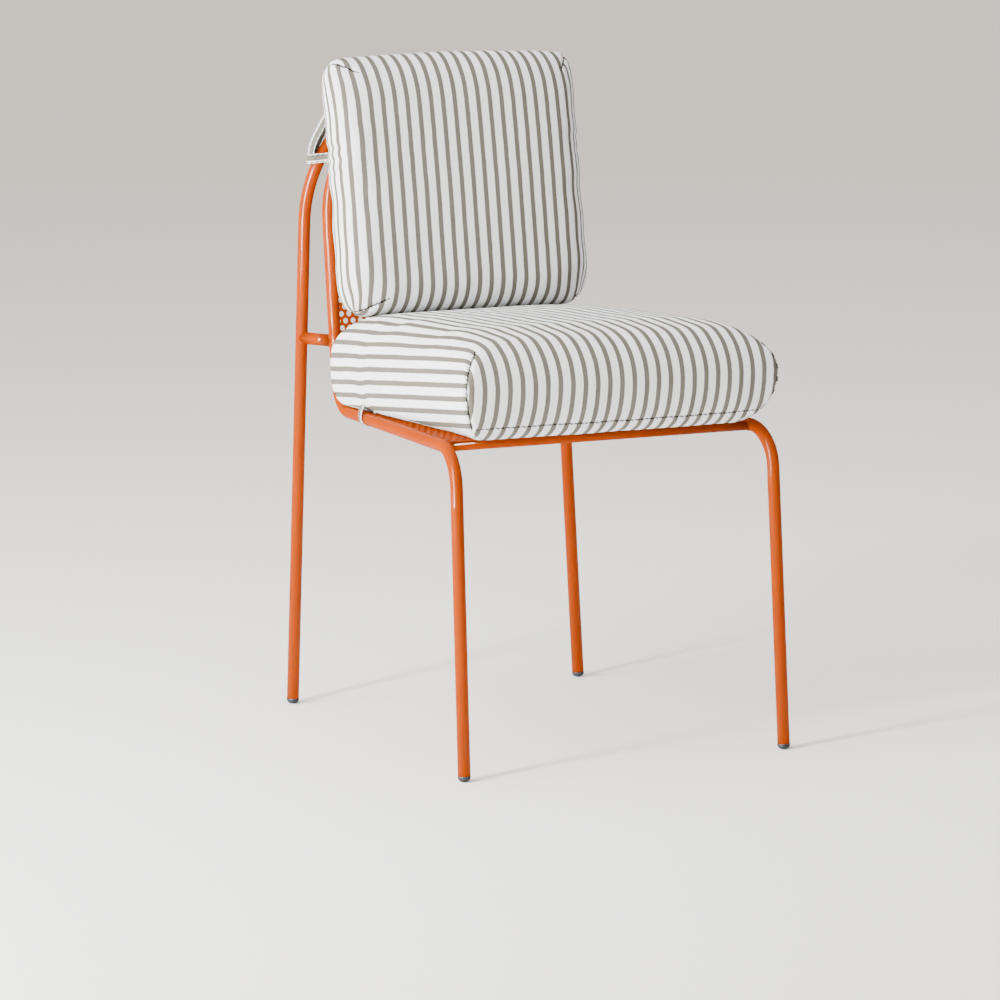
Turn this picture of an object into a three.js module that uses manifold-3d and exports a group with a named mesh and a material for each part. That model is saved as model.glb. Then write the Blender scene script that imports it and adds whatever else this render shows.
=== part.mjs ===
// A stacking patio chair. Bent steel tube carries a perforated seat sheet and back sheet,
// and two thick cushions in removable covers are looped onto the tubes.
// Millimetres, +Z up, the sitter faces -Y. The origin is on the floor under the middle of the chair.
import * as THREE from 'three';
import { mergeVertices } from 'three/addons/utils/BufferGeometryUtils.js';
import Module from 'manifold-3d';

const wasm = await Module();
wasm.setup();

const degrees = Math.PI / 180;

// Tube stock and welds
const tubeDiameter = 15;
const tubeWall = 1.5;
const tieDiameter = 11;
const tieWall = 1.2;
const jointGap = 0.3;
const weldLeg = 2;
const crownWeldLength = 30;

// Side frames: front leg, seat rail and back upright bent from one tube
const frontFootHalfSpan = 211.3;
const toeAngle = 6.8 * degrees;
const frontLegSplay = 4.4 * degrees;
const frontCornerHeight = 382.9;
const railLength = 437.7;
const railFall = 1.3 * degrees;
const frontBendRadius = 49;
const rearBendRadius = 47;
const backLean = 9.6 * degrees;
const uprightRise = 228.03;

// Rear legs and the struts that tie them to the uprights, measured from the side frames
const rearFootReach = 46.6;
const rearFootInset = 12.2;
const rearLegTuck = 2.58 * degrees;
const crownStackAngle = 17 * degrees;
const strutRise = 82;

// Cross tubes under the seat sheet, measured from the side frames' corners
const frontTieSetback = 40;
const rearTieSetback = 52;
const tieDrop = 1;

// Steel sheets
const sheetThickness = 1.5;
const seatSheetLip = 5;
const backSheetLift = 5;
const backSheetRise = 52.03;

// Foot caps
const capDiameter = 15.8;
const capDomeHeight = 7;
const capCut = 0.5;
const capStemLength = 14;
const capStemGap = 0.8;

// Cushion covers
const coverWall = 2;

// Seat cushion
const seatCushionOverhang = 25.5;
const seatCushionRearGap = 7;
const seatCushionFrontInset = 4.5;
const seatCushionRearProud = 13.5;
const seatCushionShape = {
    edgeThickness: 104,
    crown: 12,
    lowerRound: 18,
    upperRound: 34,
    sideDraw: 4,
    startDraw: 2,
    bulge: 5,
};

// Back cushion
const backCushionSideProud = 11;
const backCushionFlare = 4;
const backCushionShape = {
    length: 321,
    edgeThickness: 62,
    crown: 26,
    lowerRound: 20,
    upperRound: 27,
    sideDraw: 2,
    startDraw: 0,
    bulge: 2,
};
const backCushionRise = 106.6;

// Zips in the seat cover's rear face and the back cover's bottom face
const zipTapeHeight = 5;
const zipProud = 1.2;
const seatZipEndInset = 45;
const seatZipHeight = 53.5;
const backZipEndInset = 42;
const backZipHeight = 24;
const sliderLength = 9;
const sliderHeight = 7;
const sliderThickness = 2.6;
const pullLength = 18;
const pullHeight = 4.6;
const pullThickness = 1.2;

// Fabric loops
const loopThickness = 1.2;
const loopWidth = 9;
const seatLoopSetback = 326;
const seatLoopReach = 11.6;
const backLoopAngle = 30 * degrees;
const backLoopReach = 19;

// Fineness of the round shapes
const tubeSides = 16;
const boreSides = 8;
const bendStep = 11 * degrees;
const archSteps = 22;
const domeSteps = 5;
const cushionSegments = [10, 10, 6];
const weldSides = 10;

const tubeRadius = tubeDiameter / 2;
const tieRadius = tieDiameter / 2;
const vector = (x, y, z) => new THREE.Vector3(x, y, z);

// Turns a closed geometry into a solid, with shared vertices merged and its faces turned outwards.
function toSolid(geometry) {
    const bare = geometry.clone();
    bare.deleteAttribute('normal');
    bare.deleteAttribute('uv');
    const merged = mergeVertices(bare);
    const triangles = [];
    const index = merged.index.array;
    for (let i = 0; i < index.length; i += 3) {
        const [a, b, c] = index.slice(i, i + 3);
        if (a !== b && b !== c && c !== a) {
            triangles.push(a, b, c);
        }
    }
    const vertProperties = Float32Array.from(merged.attributes.position.array);
    const build = (triVerts) => new wasm.Manifold(
        new wasm.Mesh({ numProp: 3, vertProperties, triVerts: Uint32Array.from(triVerts) }));
    const solid = build(triangles);
    if (solid.volume() > 0) {
        return solid;
    }
    return build(triangles.reverse());
}

function toGeometry(solid) {
    const mesh = solid.getMesh();
    const geometry = new THREE.BufferGeometry();
    geometry.setAttribute('position', new THREE.BufferAttribute(Float32Array.from(mesh.vertProperties), 3));
    geometry.setIndex(new THREE.BufferAttribute(Uint32Array.from(mesh.triVerts), 1));
    geometry.computeVertexNormals();
    return geometry;
}

// A line of stations, each with its own point and tangent, so straight runs need no steps of their own.
class StationLine extends THREE.Curve {
    constructor(stations) {
        super();
        this.stations = stations;
    }

    getPoint(t, target = new THREE.Vector3()) {
        const place = t * (this.stations.length - 1);
        const before = Math.min(Math.floor(place), this.stations.length - 2);
        return target.lerpVectors(
            this.stations[before].point, this.stations[before + 1].point, place - before);
    }

    getPointAt(u, target) {
        return this.getPoint(u, target);
    }

    getTangentAt(u, target = new THREE.Vector3()) {
        return target.copy(this.stations[Math.round(u * (this.stations.length - 1))].tangent);
    }
}

// Stations through corner points, with a bend of the given radius at each inner corner.
function bentStations(corners, bendRadii) {
    const direction = (from, to) => to.clone().sub(from).normalize();
    const stations = [{ point: corners[0], tangent: direction(corners[0], corners[1]) }];
    for (let i = 1; i < corners.length - 1; i += 1) {
        const into = direction(corners[i - 1], corners[i]);
        const away = direction(corners[i], corners[i + 1]);
        const turn = into.angleTo(away);
        const radius = bendRadii[i - 1];
        const inward = away.clone().addScaledVector(into, -away.dot(into)).normalize();
        const start = corners[i].clone().addScaledVector(into, -radius * Math.tan(turn / 2));
        const steps = Math.ceil(turn / bendStep);
        for (let step = 0; step <= steps; step += 1) {
            const angle = turn * step / steps;
            stations.push({
                point: start.clone()
                    .addScaledVector(into, radius * Math.sin(angle))
                    .addScaledVector(inward, radius * (1 - Math.cos(angle))),
                tangent: into.clone().multiplyScalar(Math.cos(angle))
                    .addScaledVector(inward, Math.sin(angle)),
            });
        }
    }
    const last = corners.length - 1;
    stations.push({ point: corners[last], tangent: direction(corners[last - 1], corners[last]) });
    return stations;
}

// A round arch that carries on from the left-hand tube's end and comes down on the right.
function archFrom(end, direction) {
    const rise = Math.hypot(direction.y, direction.z);
    const up = vector(0, direction.y / rise, direction.z / rise);
    const startAngle = Math.atan2(Math.abs(direction.x), rise);
    const radius = Math.abs(end.x) / Math.cos(startAngle);
    const centre = vector(0, end.y, end.z).addScaledVector(up, -radius * Math.sin(startAngle));
    const at = (angle) => centre.clone()
        .addScaledVector(up, radius * Math.sin(angle))
        .add(vector(-radius * Math.cos(angle), 0, 0));
    const along = (angle) => vector(Math.sin(angle), 0, 0).addScaledVector(up, Math.cos(angle));
    const stations = [];
    const first = startAngle + jointGap / radius;
    for (let step = 0; step <= archSteps; step += 1) {
        const angle = first + (Math.PI - 2 * first) * step / archSteps;
        stations.push({ point: at(angle), tangent: along(angle) });
    }
    return { at, along, centre, up, radius, startAngle, stations };
}

function roundOutline(radius, sides) {
    const points = [];
    for (let side = 0; side < sides; side += 1) {
        const angle = 2 * Math.PI * side / sides;
        points.push(new THREE.Vector2(radius * Math.cos(angle), radius * Math.sin(angle)));
    }
    return points;
}

function swept(stations, shape) {
    return new THREE.ExtrudeGeometry(shape, {
        steps: stations.length - 1,
        extrudePath: new StationLine(stations),
    });
}

function tube(stations, radius, wall) {
    const shape = new THREE.Shape(roundOutline(radius, tubeSides));
    shape.holes.push(new THREE.Path(roundOutline(radius - wall, boreSides)));
    return toSolid(swept(stations, shape));
}

function rod(stations, radius, count = tubeSides) {
    return toSolid(swept(stations, new THREE.Shape(roundOutline(radius, count))));
}

function straight(from, to) {
    return bentStations([from, to], []);
}

function mirrored(point) {
    return vector(-point.x, point.y, point.z);
}

function mirroredStations(stations) {
    return stations.map(({ point, tangent }) => ({ point: mirrored(point), tangent: mirrored(tangent) }));
}

function box(low, high) {
    const size = high.clone().sub(low);
    const geometry = new THREE.BoxGeometry(size.x, size.y, size.z);
    const middle = low.clone().add(high).multiplyScalar(1 / 2);
    geometry.translate(middle.x, middle.y, middle.z);
    return toSolid(geometry);
}

const paint = { color: 0xd9540f, roughness: 0.38, metalness: 0.1 };
const plastic = { color: 0x24272b, roughness: 0.55, metalness: 0 };
const canvas = { color: 0xdfe0da, roughness: 0.9, metalness: 0 };
const foam = { color: 0xe9e0c4, roughness: 0.95, metalness: 0 };
const zipTape = { color: 0xc9cac6, roughness: 0.8, metalness: 0 };
const zinc = { color: 0x9a9c9e, roughness: 0.35, metalness: 1 };

const chair = new THREE.Group();

function add(parent, name, solid, finish) {
    const mesh = new THREE.Mesh(toGeometry(solid), new THREE.MeshStandardMaterial(finish));
    mesh.name = name;
    parent.add(mesh);
    return mesh;
}

// The left side frame lies in an upright plane that is wider at the front by the toe angle.
const frontCornerReach = frontCornerHeight * Math.tan(frontLegSplay);
const footY = (frontCornerReach + railLength + rearFootReach) / 2;
const frontCornerY = -footY + frontCornerReach;
const rearCornerY = frontCornerY + railLength;
const railHeightAt = (y) => frontCornerHeight - (y - frontCornerY) * Math.tan(railFall);
const uprightYAt = (z) => rearCornerY + (z - railHeightAt(rearCornerY)) * Math.tan(backLean);
const sideXAt = (y) => -frontFootHalfSpan + (y + footY) * Math.tan(toeAngle);
const sidePoint = (y, z) => vector(sideXAt(y), y, z);
const rearCornerHeight = railHeightAt(rearCornerY);
const hoopStartHeight = rearCornerHeight + uprightRise;

const tubeStartHeight = capDomeHeight - capCut + jointGap;
const frontFoot = sidePoint(-footY, 0);
const frontCorner = sidePoint(frontCornerY, frontCornerHeight);
const rearCorner = sidePoint(rearCornerY, rearCornerHeight);
const uprightTop = sidePoint(uprightYAt(hoopStartHeight), hoopStartHeight);
const frontTubeEnd = frontFoot.clone().lerp(frontCorner, tubeStartHeight / frontCornerHeight);
const sideStations = bentStations(
    [frontTubeEnd, frontCorner, rearCorner, uprightTop], [frontBendRadius, rearBendRadius]);
const uprightDirection = uprightTop.clone().sub(rearCorner).normalize();
const hoop = archFrom(uprightTop, uprightDirection);
const hoopCrown = hoop.at(Math.PI / 2);

// The rear arch's crown lies on the hoop's crown. The rear legs lean back to it from their feet,
// and the arch starts where the tucked-in legs are just wide enough for its radius.
const rearFootHalfSpan = frontFootHalfSpan - rearFootInset;
const crownSpacing = tubeDiameter + jointGap;
const rearCrown = hoopCrown.clone().add(
    vector(0, crownSpacing * Math.sin(crownStackAngle), crownSpacing * Math.cos(crownStackAngle)));
const rearLegLean = Math.atan2(rearCrown.y - footY, rearCrown.z);
const rearLegPoint = (z) => vector(
    -rearFootHalfSpan + z * Math.tan(rearLegTuck), footY + z * Math.tan(rearLegLean), z);
const strutHeight = rearCornerHeight + strutRise;
const rearLegDirection = rearLegPoint(strutHeight).sub(rearLegPoint(0)).normalize();
const tuckAngle = Math.asin(Math.abs(rearLegDirection.x));
const risePerSpan = Math.cos(rearLegLean) * (1 - Math.sin(tuckAngle)) / Math.cos(tuckAngle);
const rearArchHeight = (rearCrown.z - risePerSpan * rearFootHalfSpan)
    / (1 - risePerSpan * Math.tan(rearLegTuck));
const rearLegTop = rearLegPoint(rearArchHeight);
const rearArch = archFrom(rearLegTop, rearLegDirection);
const rearArchCrown = rearArch.at(Math.PI / 2);
const rearLegStations = straight(rearLegPoint(tubeStartHeight), rearLegTop);

const strutFrom = rearLegPoint(strutHeight);
const strutTo = sidePoint(uprightYAt(strutHeight), strutHeight);

// Rods a little thicker than the tubes, which cut whatever meets them.
const clearRadius = tubeRadius + jointGap;
const weldRadius = tubeRadius + weldLeg;
const sideTube = (radius) => rod(sideStations, radius);
const sides = [
    { side: 'left', turn: (stations) => stations, place: (point) => point.clone() },
    { side: 'right', turn: mirroredStations, place: mirrored },
];

// A weld bead is the ring that lies around a tube's end, against the tube that it meets.
function weldBead(main, branchStations, branchRadius) {
    return rod(branchStations, branchRadius + weldLeg, weldSides)
        .intersect(main(weldRadius))
        .subtract(rod(branchStations, branchRadius + jointGap))
        .subtract(main(clearRadius));
}

for (const { side, turn, place } of sides) {
    const sideRod = (radius) => rod(turn(sideStations), radius);
    const rearRod = (radius) => rod(turn(rearLegStations), radius);
    const strutStations = straight(place(strutFrom), place(strutTo));
    const strut = tube(strutStations, tubeRadius, tubeWall)
        .subtract(sideRod(clearRadius))
        .subtract(rearRod(clearRadius));
    add(chair, `side_frame_${side}`, tube(turn(sideStations), tubeRadius, tubeWall), paint);
    add(chair, `rear_leg_${side}`, tube(turn(rearLegStations), tubeRadius, tubeWall), paint);
    add(chair, `strut_${side}`, strut, paint);
    add(chair, `weld_strut_front_${side}`, weldBead(sideRod, strutStations, tubeRadius), paint);
    add(chair, `weld_strut_rear_${side}`, weldBead(rearRod, strutStations, tubeRadius), paint);
}
add(chair, 'back_hoop', tube(hoop.stations, tubeRadius, tubeWall), paint);
add(chair, 'rear_arch', tube(rearArch.stations, tubeRadius, tubeWall), paint);

// The two arches are welded along the grooves where their crowns meet.
const crownMiddle = hoopCrown.clone().lerp(rearArchCrown, 1 / 2);
const hoopRod = rod(hoop.stations, clearRadius);
const rearArchRod = rod(rearArch.stations, clearRadius);
for (const { face, sign } of [{ face: 'front', sign: -1 }, { face: 'rear', sign: 1 }]) {
    const near = crownMiddle.y + sign * weldLeg;
    const far = crownMiddle.y + sign * (tubeRadius - weldLeg);
    const groove = box(
        vector(-crownWeldLength / 2, Math.min(near, far), crownMiddle.z - tubeRadius / 2),
        vector(crownWeldLength / 2, Math.max(near, far), crownMiddle.z + tubeRadius / 2));
    add(chair, `weld_crown_${face}`, groove.subtract(hoopRod).subtract(rearArchRod), paint);
}

// The seat's slope. The seat sheet lies on the cross tubes, just under the top of the rails.
const frontTieY = frontCornerY + frontTieSetback;
const rearTieY = rearCornerY - rearTieSetback;
const sheetFrontY = frontTieY - seatSheetLip;
const sheetRearY = rearTieY + seatSheetLip;
const sheetLift = tieRadius - tieDrop + jointGap;
const seatSlope = new THREE.Group();
seatSlope.position.set(0, frontTieY, railHeightAt(frontTieY));
seatSlope.rotation.x = -railFall;
seatSlope.updateMatrix();
const alongSeat = (y) => (y - frontTieY) / Math.cos(railFall);
const bothSides = sideTube(clearRadius).add(rod(mirroredStations(sideStations), clearRadius));

function seatPlate(frontY, rearY, lift, thickness) {
    const outline = new THREE.Shape([
        new THREE.Vector2(sideXAt(frontY), alongSeat(frontY)),
        new THREE.Vector2(-sideXAt(frontY), alongSeat(frontY)),
        new THREE.Vector2(-sideXAt(rearY), alongSeat(rearY)),
        new THREE.Vector2(sideXAt(rearY), alongSeat(rearY)),
    ]);
    const plate = new THREE.ExtrudeGeometry(outline, { depth: thickness, bevelEnabled: false });
    plate.translate(0, 0, lift);
    plate.applyMatrix4(seatSlope.matrix);
    return toSolid(plate);
}

// The sheet is notched at each rail where the seat cushion's loop passes.
const seatLoopY = frontCornerY + seatLoopSetback;
const seatLoopCentre = sidePoint(seatLoopY, railHeightAt(seatLoopY));
const railDirection = rearCorner.clone().sub(frontCorner).normalize();
const loopRadius = clearRadius + jointGap + loopThickness;
const notchStations = straight(
    seatLoopCentre.clone().addScaledVector(railDirection, -loopWidth / 2 - jointGap),
    seatLoopCentre.clone().addScaledVector(railDirection, loopWidth / 2 + jointGap));
const notch = (stations) => rod(stations, loopRadius + 2 * jointGap);
const seatSheet = seatPlate(sheetFrontY, sheetRearY, sheetLift, sheetThickness)
    .subtract(bothSides)
    .subtract(notch(notchStations))
    .subtract(notch(mirroredStations(notchStations)));
add(chair, 'seat_sheet', seatSheet, paint);

// Cross tubes reach from side frame to side frame under the sheet, cut to fit around the rails.
const sheetRoom = seatPlate(
    sheetFrontY - tubeDiameter, sheetRearY + tubeDiameter, sheetLift - jointGap, tubeDiameter);
for (const { end, y } of [{ end: 'front', y: frontTieY }, { end: 'rear', y: rearTieY }]) {
    const left = vector(sideXAt(y), y, railHeightAt(y) - tieDrop);
    const tie = tube(straight(left, mirrored(left)), tieRadius, tieWall).subtract(bothSides);
    add(chair, `${end}_tie_tube`, tie, paint);
    for (const { side, turn, place } of sides) {
        const sideRod = (radius) => rod(turn(sideStations), radius);
        const halfTie = straight(place(left), vector(0, y, left.z));
        const bead = weldBead(sideRod, halfTie, tieRadius).subtract(sheetRoom);
        add(chair, `weld_${end}_tie_${side}`, bead, paint);
    }
}

// The back sheet fills the hoop, in a plane a little ahead of the tubes' centre lines.
const backSheetHeight = rearCornerHeight + backSheetRise;
const backSlope = new THREE.Group();
backSlope.position.set(0, uprightYAt(backSheetHeight), backSheetHeight);
backSlope.rotation.x = Math.PI / 2 - backLean;
backSlope.updateMatrix();
const alongBack = (z) => (z - backSheetHeight) / Math.cos(backLean);
const backOutline = new THREE.Shape();
backOutline.moveTo(-sideXAt(uprightYAt(backSheetHeight)), 0);
for (let step = archSteps; step >= 0; step -= 1) {
    const angle = hoop.startAngle + (Math.PI - 2 * hoop.startAngle) * step / archSteps;
    backOutline.lineTo(hoop.at(angle).x, alongBack(hoop.at(angle).z));
}
backOutline.lineTo(sideXAt(uprightYAt(backSheetHeight)), 0);
const backPlate = new THREE.ExtrudeGeometry(backOutline, { depth: sheetThickness, bevelEnabled: false });
backPlate.translate(0, 0, backSheetLift - sheetThickness / 2);
backPlate.applyMatrix4(backSlope.matrix);
add(chair, 'back_sheet', toSolid(backPlate).subtract(bothSides).subtract(hoopRod), paint);

// A foot cap is a domed plug: its stem sits in the tube and its dome is cut flat on the floor.
const capRadius = capDiameter / 2;
const stemRadius = tubeRadius - tubeWall - capStemGap;
const capProfile = [];
for (let step = 0; step <= domeSteps; step += 1) {
    const angle = step * Math.PI / 2 / domeSteps;
    capProfile.push(new THREE.Vector2(capRadius * Math.sin(angle), capDomeHeight * (1 - Math.cos(angle))));
}
capProfile.push(new THREE.Vector2(stemRadius, capDomeHeight));
capProfile.push(new THREE.Vector2(stemRadius, capDomeHeight + capStemLength));
capProfile.push(new THREE.Vector2(0, capDomeHeight + capStemLength));

function addFootCap(name, foot, direction) {
    const cap = new THREE.LatheGeometry(capProfile, tubeSides);
    const turn = new THREE.Quaternion().setFromUnitVectors(vector(0, 1, 0), direction);
    const base = foot.clone().addScaledVector(direction, -capCut);
    cap.applyMatrix4(new THREE.Matrix4().makeRotationFromQuaternion(turn));
    cap.translate(base.x, base.y, base.z);
    const below = box(
        vector(foot.x - capDiameter, foot.y - capDiameter, -capDomeHeight),
        vector(foot.x + capDiameter, foot.y + capDiameter, 0));
    add(chair, name, toSolid(cap).subtract(below), plastic);
}

const frontLegDirection = frontCorner.clone().sub(frontFoot).normalize();
for (const { side, place } of sides) {
    addFootCap(`foot_cap_front_${side}`, place(frontFoot), place(frontLegDirection));
    addFootCap(`foot_cap_rear_${side}`, place(rearLegPoint(0)), place(rearLegDirection));
}

// A cushion's form. It lies flat on z = 0, is crowned on top, has rounded edges and a round bulge
// at its start face, and its sides pull in between the corners. The inset gives the lining inside it.
function cushionForm(form, inset) {
    const unit = new THREE.BoxGeometry(2, 2, 2, ...cushionSegments);
    const position = unit.attributes.position;
    const ease = (share) => Math.sin(share * Math.PI / 2);
    const clamp = THREE.MathUtils.clamp;
    for (let i = 0; i < position.count; i += 1) {
        const across = ease(position.getX(i));
        const along = ease(position.getY(i));
        const up = ease(position.getZ(i));
        const halfWidth = THREE.MathUtils.lerp(
            form.startHalfWidth, form.endHalfWidth, (along + 1) / 2) - inset;
        const halfLength = form.length / 2 - inset;
        const thickness = form.edgeThickness + form.crown * (1 - across ** 2) * (1 - along ** 2);
        const halfThickness = thickness / 2 - inset;
        const round = THREE.MathUtils.lerp(form.lowerRound, form.upperRound, (up + 1) / 2) - inset;
        const point = vector(across * halfWidth, along * halfLength, up * halfThickness);
        const inner = vector(
            clamp(point.x, round - halfWidth, halfWidth - round),
            clamp(point.y, round - halfLength, halfLength - round),
            clamp(point.z, round - halfThickness, halfThickness - round));
        const outward = point.clone().sub(inner);
        const reach = Math.max(Math.abs(outward.x), Math.abs(outward.y), Math.abs(outward.z));
        if (reach > 0) {
            point.copy(inner).addScaledVector(outward.normalize(), reach);
        }
        point.x -= across * form.sideDraw * (1 - along ** 2);
        point.x += across ** 3 * form.bulge * (1 - up ** 2) * (1 - along ** 4);
        if (along < 0) {
            point.y -= along * form.startDraw * (1 - across ** 2);
            point.y += along ** 3 * form.bulge * (1 - up ** 2) * (1 - across ** 4)
                * Math.sign(form.startDraw);
        }
        position.setXYZ(i, point.x, point.y, point.z + thickness / 2);
    }
    return toSolid(unit);
}

// A zipped cover with its foam inside. The zip lies in a slot in the face at the given end.
function addCushion(name, group, form, clearOf, { zipLength, zipHeight, zipEnd }) {
    const inverse = group.matrix.clone().invert();
    const local = (solid) => toSolid(toGeometry(solid).applyMatrix4(inverse));
    const face = zipEnd * form.length / 2;
    const slab = (fromX, toX, height, inside, outside) => box(
        vector(fromX, Math.min(face - zipEnd * inside, face + zipEnd * outside), zipHeight - height / 2),
        vector(toX, Math.max(face - zipEnd * inside, face + zipEnd * outside), zipHeight + height / 2));
    const slotEnd = zipLength / 2 + jointGap;
    const lining = cushionForm(form, coverWall).subtract(local(clearOf(coverWall)));
    const cover = cushionForm(form, 0)
        .subtract(local(clearOf(0)))
        .subtract(lining)
        .subtract(slab(-slotEnd, slotEnd, zipTapeHeight + 2 * jointGap, 2 * coverWall, 2 * coverWall));
    const filling = cushionForm(form, coverWall + jointGap)
        .subtract(local(clearOf(coverWall + jointGap)));
    const sliderAt = -zipLength / 2 + sliderLength;
    const sliderBase = zipProud + jointGap;
    const sliderBody = slab(
        -sliderLength / 2, sliderLength / 2, sliderHeight, -sliderBase, sliderBase + sliderThickness);
    const pullBase = sliderBase + (sliderThickness - pullThickness) / 2;
    const pull = slab(
        sliderLength / 2 - jointGap, sliderLength / 2 + pullLength, pullHeight,
        -pullBase, pullBase + pullThickness);
    add(group, `${name}_cover`, cover, canvas);
    add(group, `${name}_foam`, filling, foam);
    const tape = slab(-zipLength / 2, zipLength / 2, zipTapeHeight, coverWall, zipProud);
    add(group, `${name}_zip`, tape, zipTape);
    const slider = add(group, `${name}_zip_slider`, sliderBody.add(pull), zinc);
    slider.position.x = sliderAt;
    chair.add(group);
}

// The seat cushion rests on the seat sheet, its front face ahead of the front corners.
const seatFrame = new THREE.Group();
const seatCushionFront = frontCornerY - seatCushionOverhang;
const seatCushionRear = rearCornerY - seatCushionRearGap;
const seatCushionMiddle = (seatCushionFront + seatCushionRear) / 2;
const seatCushion = {
    ...seatCushionShape,
    length: seatCushionRear - seatCushionFront,
    startHalfWidth: -sideXAt(seatCushionFront) - seatCushionFrontInset,
    endHalfWidth: -sideXAt(seatCushionRear) + seatCushionRearProud,
};
const seatRest = sheetLift + sheetThickness + jointGap;
seatFrame.position.set(
    0, seatCushionMiddle + seatRest * Math.sin(railFall),
    railHeightAt(seatCushionMiddle) + seatRest * Math.cos(railFall));
seatFrame.rotation.x = -railFall;
seatFrame.updateMatrix();
const sidesClear = (extra) => rod(sideStations, clearRadius + extra)
    .add(rod(mirroredStations(sideStations), clearRadius + extra));

// It is hollowed over the rails, and over the loops where they pass around the rails.
function seatClear(extra) {
    const reach = loopWidth / 2 + jointGap + extra;
    const radius = seatLoopReach + 2 * jointGap + extra;
    const stations = straight(
        seatLoopCentre.clone().addScaledVector(railDirection, -reach),
        seatLoopCentre.clone().addScaledVector(railDirection, reach));
    return sidesClear(extra).add(rod(stations, radius)).add(rod(mirroredStations(stations), radius));
}
addCushion('seat_cushion', seatFrame, seatCushion, seatClear, {
    zipLength: 2 * (seatCushion.endHalfWidth - seatZipEndInset),
    zipHeight: seatZipHeight,
    zipEnd: 1,
});

// The back cushion leans on the uprights and the back sheet.
const backFrame = new THREE.Group();
const backCushion = {
    ...backCushionShape,
    startHalfWidth: hoop.radius + backCushionSideProud,
    endHalfWidth: hoop.radius + backCushionSideProud + backCushionFlare,
};
const backCushionMiddle = rearCornerHeight
    + (backCushionRise + backCushion.length / 2) * Math.cos(backLean);
const backRest = tubeRadius + jointGap;
backFrame.position.set(
    0, uprightYAt(backCushionMiddle) - backRest * Math.cos(backLean),
    backCushionMiddle + backRest * Math.sin(backLean));
backFrame.rotation.x = Math.PI / 2 - backLean;
backFrame.updateMatrix();
addCushion('back_cushion', backFrame, backCushion, sidesClear, {
    zipLength: 2 * (backCushion.startHalfWidth - backZipEndInset),
    zipHeight: backZipHeight,
    zipEnd: -1,
});

// A fabric loop is a flat band that runs round a tube and comes to a point where it is sewn on.
function loopBand(centre, along, towards, reach) {
    const outline = (radius, tip) => {
        const spread = Math.acos(radius / tip);
        const points = [new THREE.Vector2(tip, 0)];
        for (let side = 0; side <= tubeSides; side += 1) {
            const angle = spread + (2 * Math.PI - 2 * spread) * side / tubeSides;
            points.push(new THREE.Vector2(radius * Math.cos(angle), radius * Math.sin(angle)));
        }
        return points;
    };
    const shape = new THREE.Shape(outline(loopRadius, reach));
    shape.holes.push(new THREE.Path(outline(loopRadius - loopThickness, reach - 2 * loopThickness)));
    const band = new THREE.ExtrudeGeometry(shape, { depth: loopWidth, bevelEnabled: false });
    band.translate(0, 0, -loopWidth / 2);
    const sideways = along.clone().cross(towards).normalize();
    const upwards = sideways.clone().cross(along).normalize();
    band.applyMatrix4(new THREE.Matrix4().makeBasis(upwards, sideways, along));
    band.translate(centre.x, centre.y, centre.z);
    return toSolid(band);
}

const backLoopCentre = rearArch.at(backLoopAngle);
const backLoopDirection = rearArch.along(backLoopAngle);
for (const { side, place } of sides) {
    add(chair, `seat_loop_${side}`,
        loopBand(place(seatLoopCentre), place(railDirection), vector(0, 0, 1), seatLoopReach), canvas);
    add(chair, `back_loop_${side}`,
        loopBand(place(backLoopCentre), place(backLoopDirection), vector(0, -1, 0), backLoopReach), canvas);
}

// The middle of the whole chair's footprint goes to the origin.
chair.updateMatrixWorld(true);
const bounds = new THREE.Box3().setFromObject(chair, true);
chair.position.set(0, -(bounds.min.y + bounds.max.y) / 2, 0);

export default chair;
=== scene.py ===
import math
import bmesh
import bpy
from mathutils import Matrix, Vector, noise
from mathutils.bvhtree import BVHTree


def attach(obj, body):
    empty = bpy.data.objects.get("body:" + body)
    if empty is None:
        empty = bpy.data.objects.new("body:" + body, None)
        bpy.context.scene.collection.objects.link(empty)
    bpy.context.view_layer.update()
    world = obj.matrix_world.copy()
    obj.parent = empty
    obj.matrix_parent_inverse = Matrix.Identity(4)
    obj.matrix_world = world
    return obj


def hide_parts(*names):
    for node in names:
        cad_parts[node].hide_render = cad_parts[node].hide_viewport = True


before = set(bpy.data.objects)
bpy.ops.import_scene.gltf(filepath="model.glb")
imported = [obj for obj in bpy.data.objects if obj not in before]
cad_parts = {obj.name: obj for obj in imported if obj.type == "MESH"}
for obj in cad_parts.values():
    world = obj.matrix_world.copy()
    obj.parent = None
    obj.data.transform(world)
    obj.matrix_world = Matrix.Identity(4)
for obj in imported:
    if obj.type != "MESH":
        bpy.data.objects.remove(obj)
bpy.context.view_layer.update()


# Camera. It stands to the left of the chair's front, a little above the seat, and far back
# with a long lens.
view_azimuth = math.radians(-26.25)
view_elevation = math.radians(9.01)
view_distance = 6.3457
view_focal_length = 189.68
view_target = Vector((-0.03877, -0.01072, 0.28107))
view_back = Vector((
    math.sin(view_azimuth) * math.cos(view_elevation),
    -math.cos(view_azimuth) * math.cos(view_elevation),
    math.sin(view_elevation)))


def linked_object(name, data):
    item = bpy.data.objects.new(name, data)
    bpy.context.scene.collection.objects.link(item)
    return item


camera_data = bpy.data.cameras.new("camera")
camera_data.sensor_width = 36
camera_data.lens = view_focal_length
camera = linked_object("camera", camera_data)
camera.location = view_target + view_back * view_distance
camera.rotation_euler = (math.pi / 2 - view_elevation, 0, view_azimuth)
bpy.context.scene.camera = camera


# Floor. One wide pale disc of smooth matt plaster carries the chair and runs out of view.
floor_radius = 32
# Painted light falloff: the floor colour runs from a paler tint near the chair to a darker, warmer
# one far off.
floor_lit_tint_near = (0.95, 0.943, 0.936)
floor_shaded_tint_far = (0.84, 0.76, 0.69)


def node_material(name):
    material = bpy.data.materials.new(name)
    material.use_nodes = True
    return material, material.node_tree, material.node_tree.nodes["Principled BSDF"]


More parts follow.
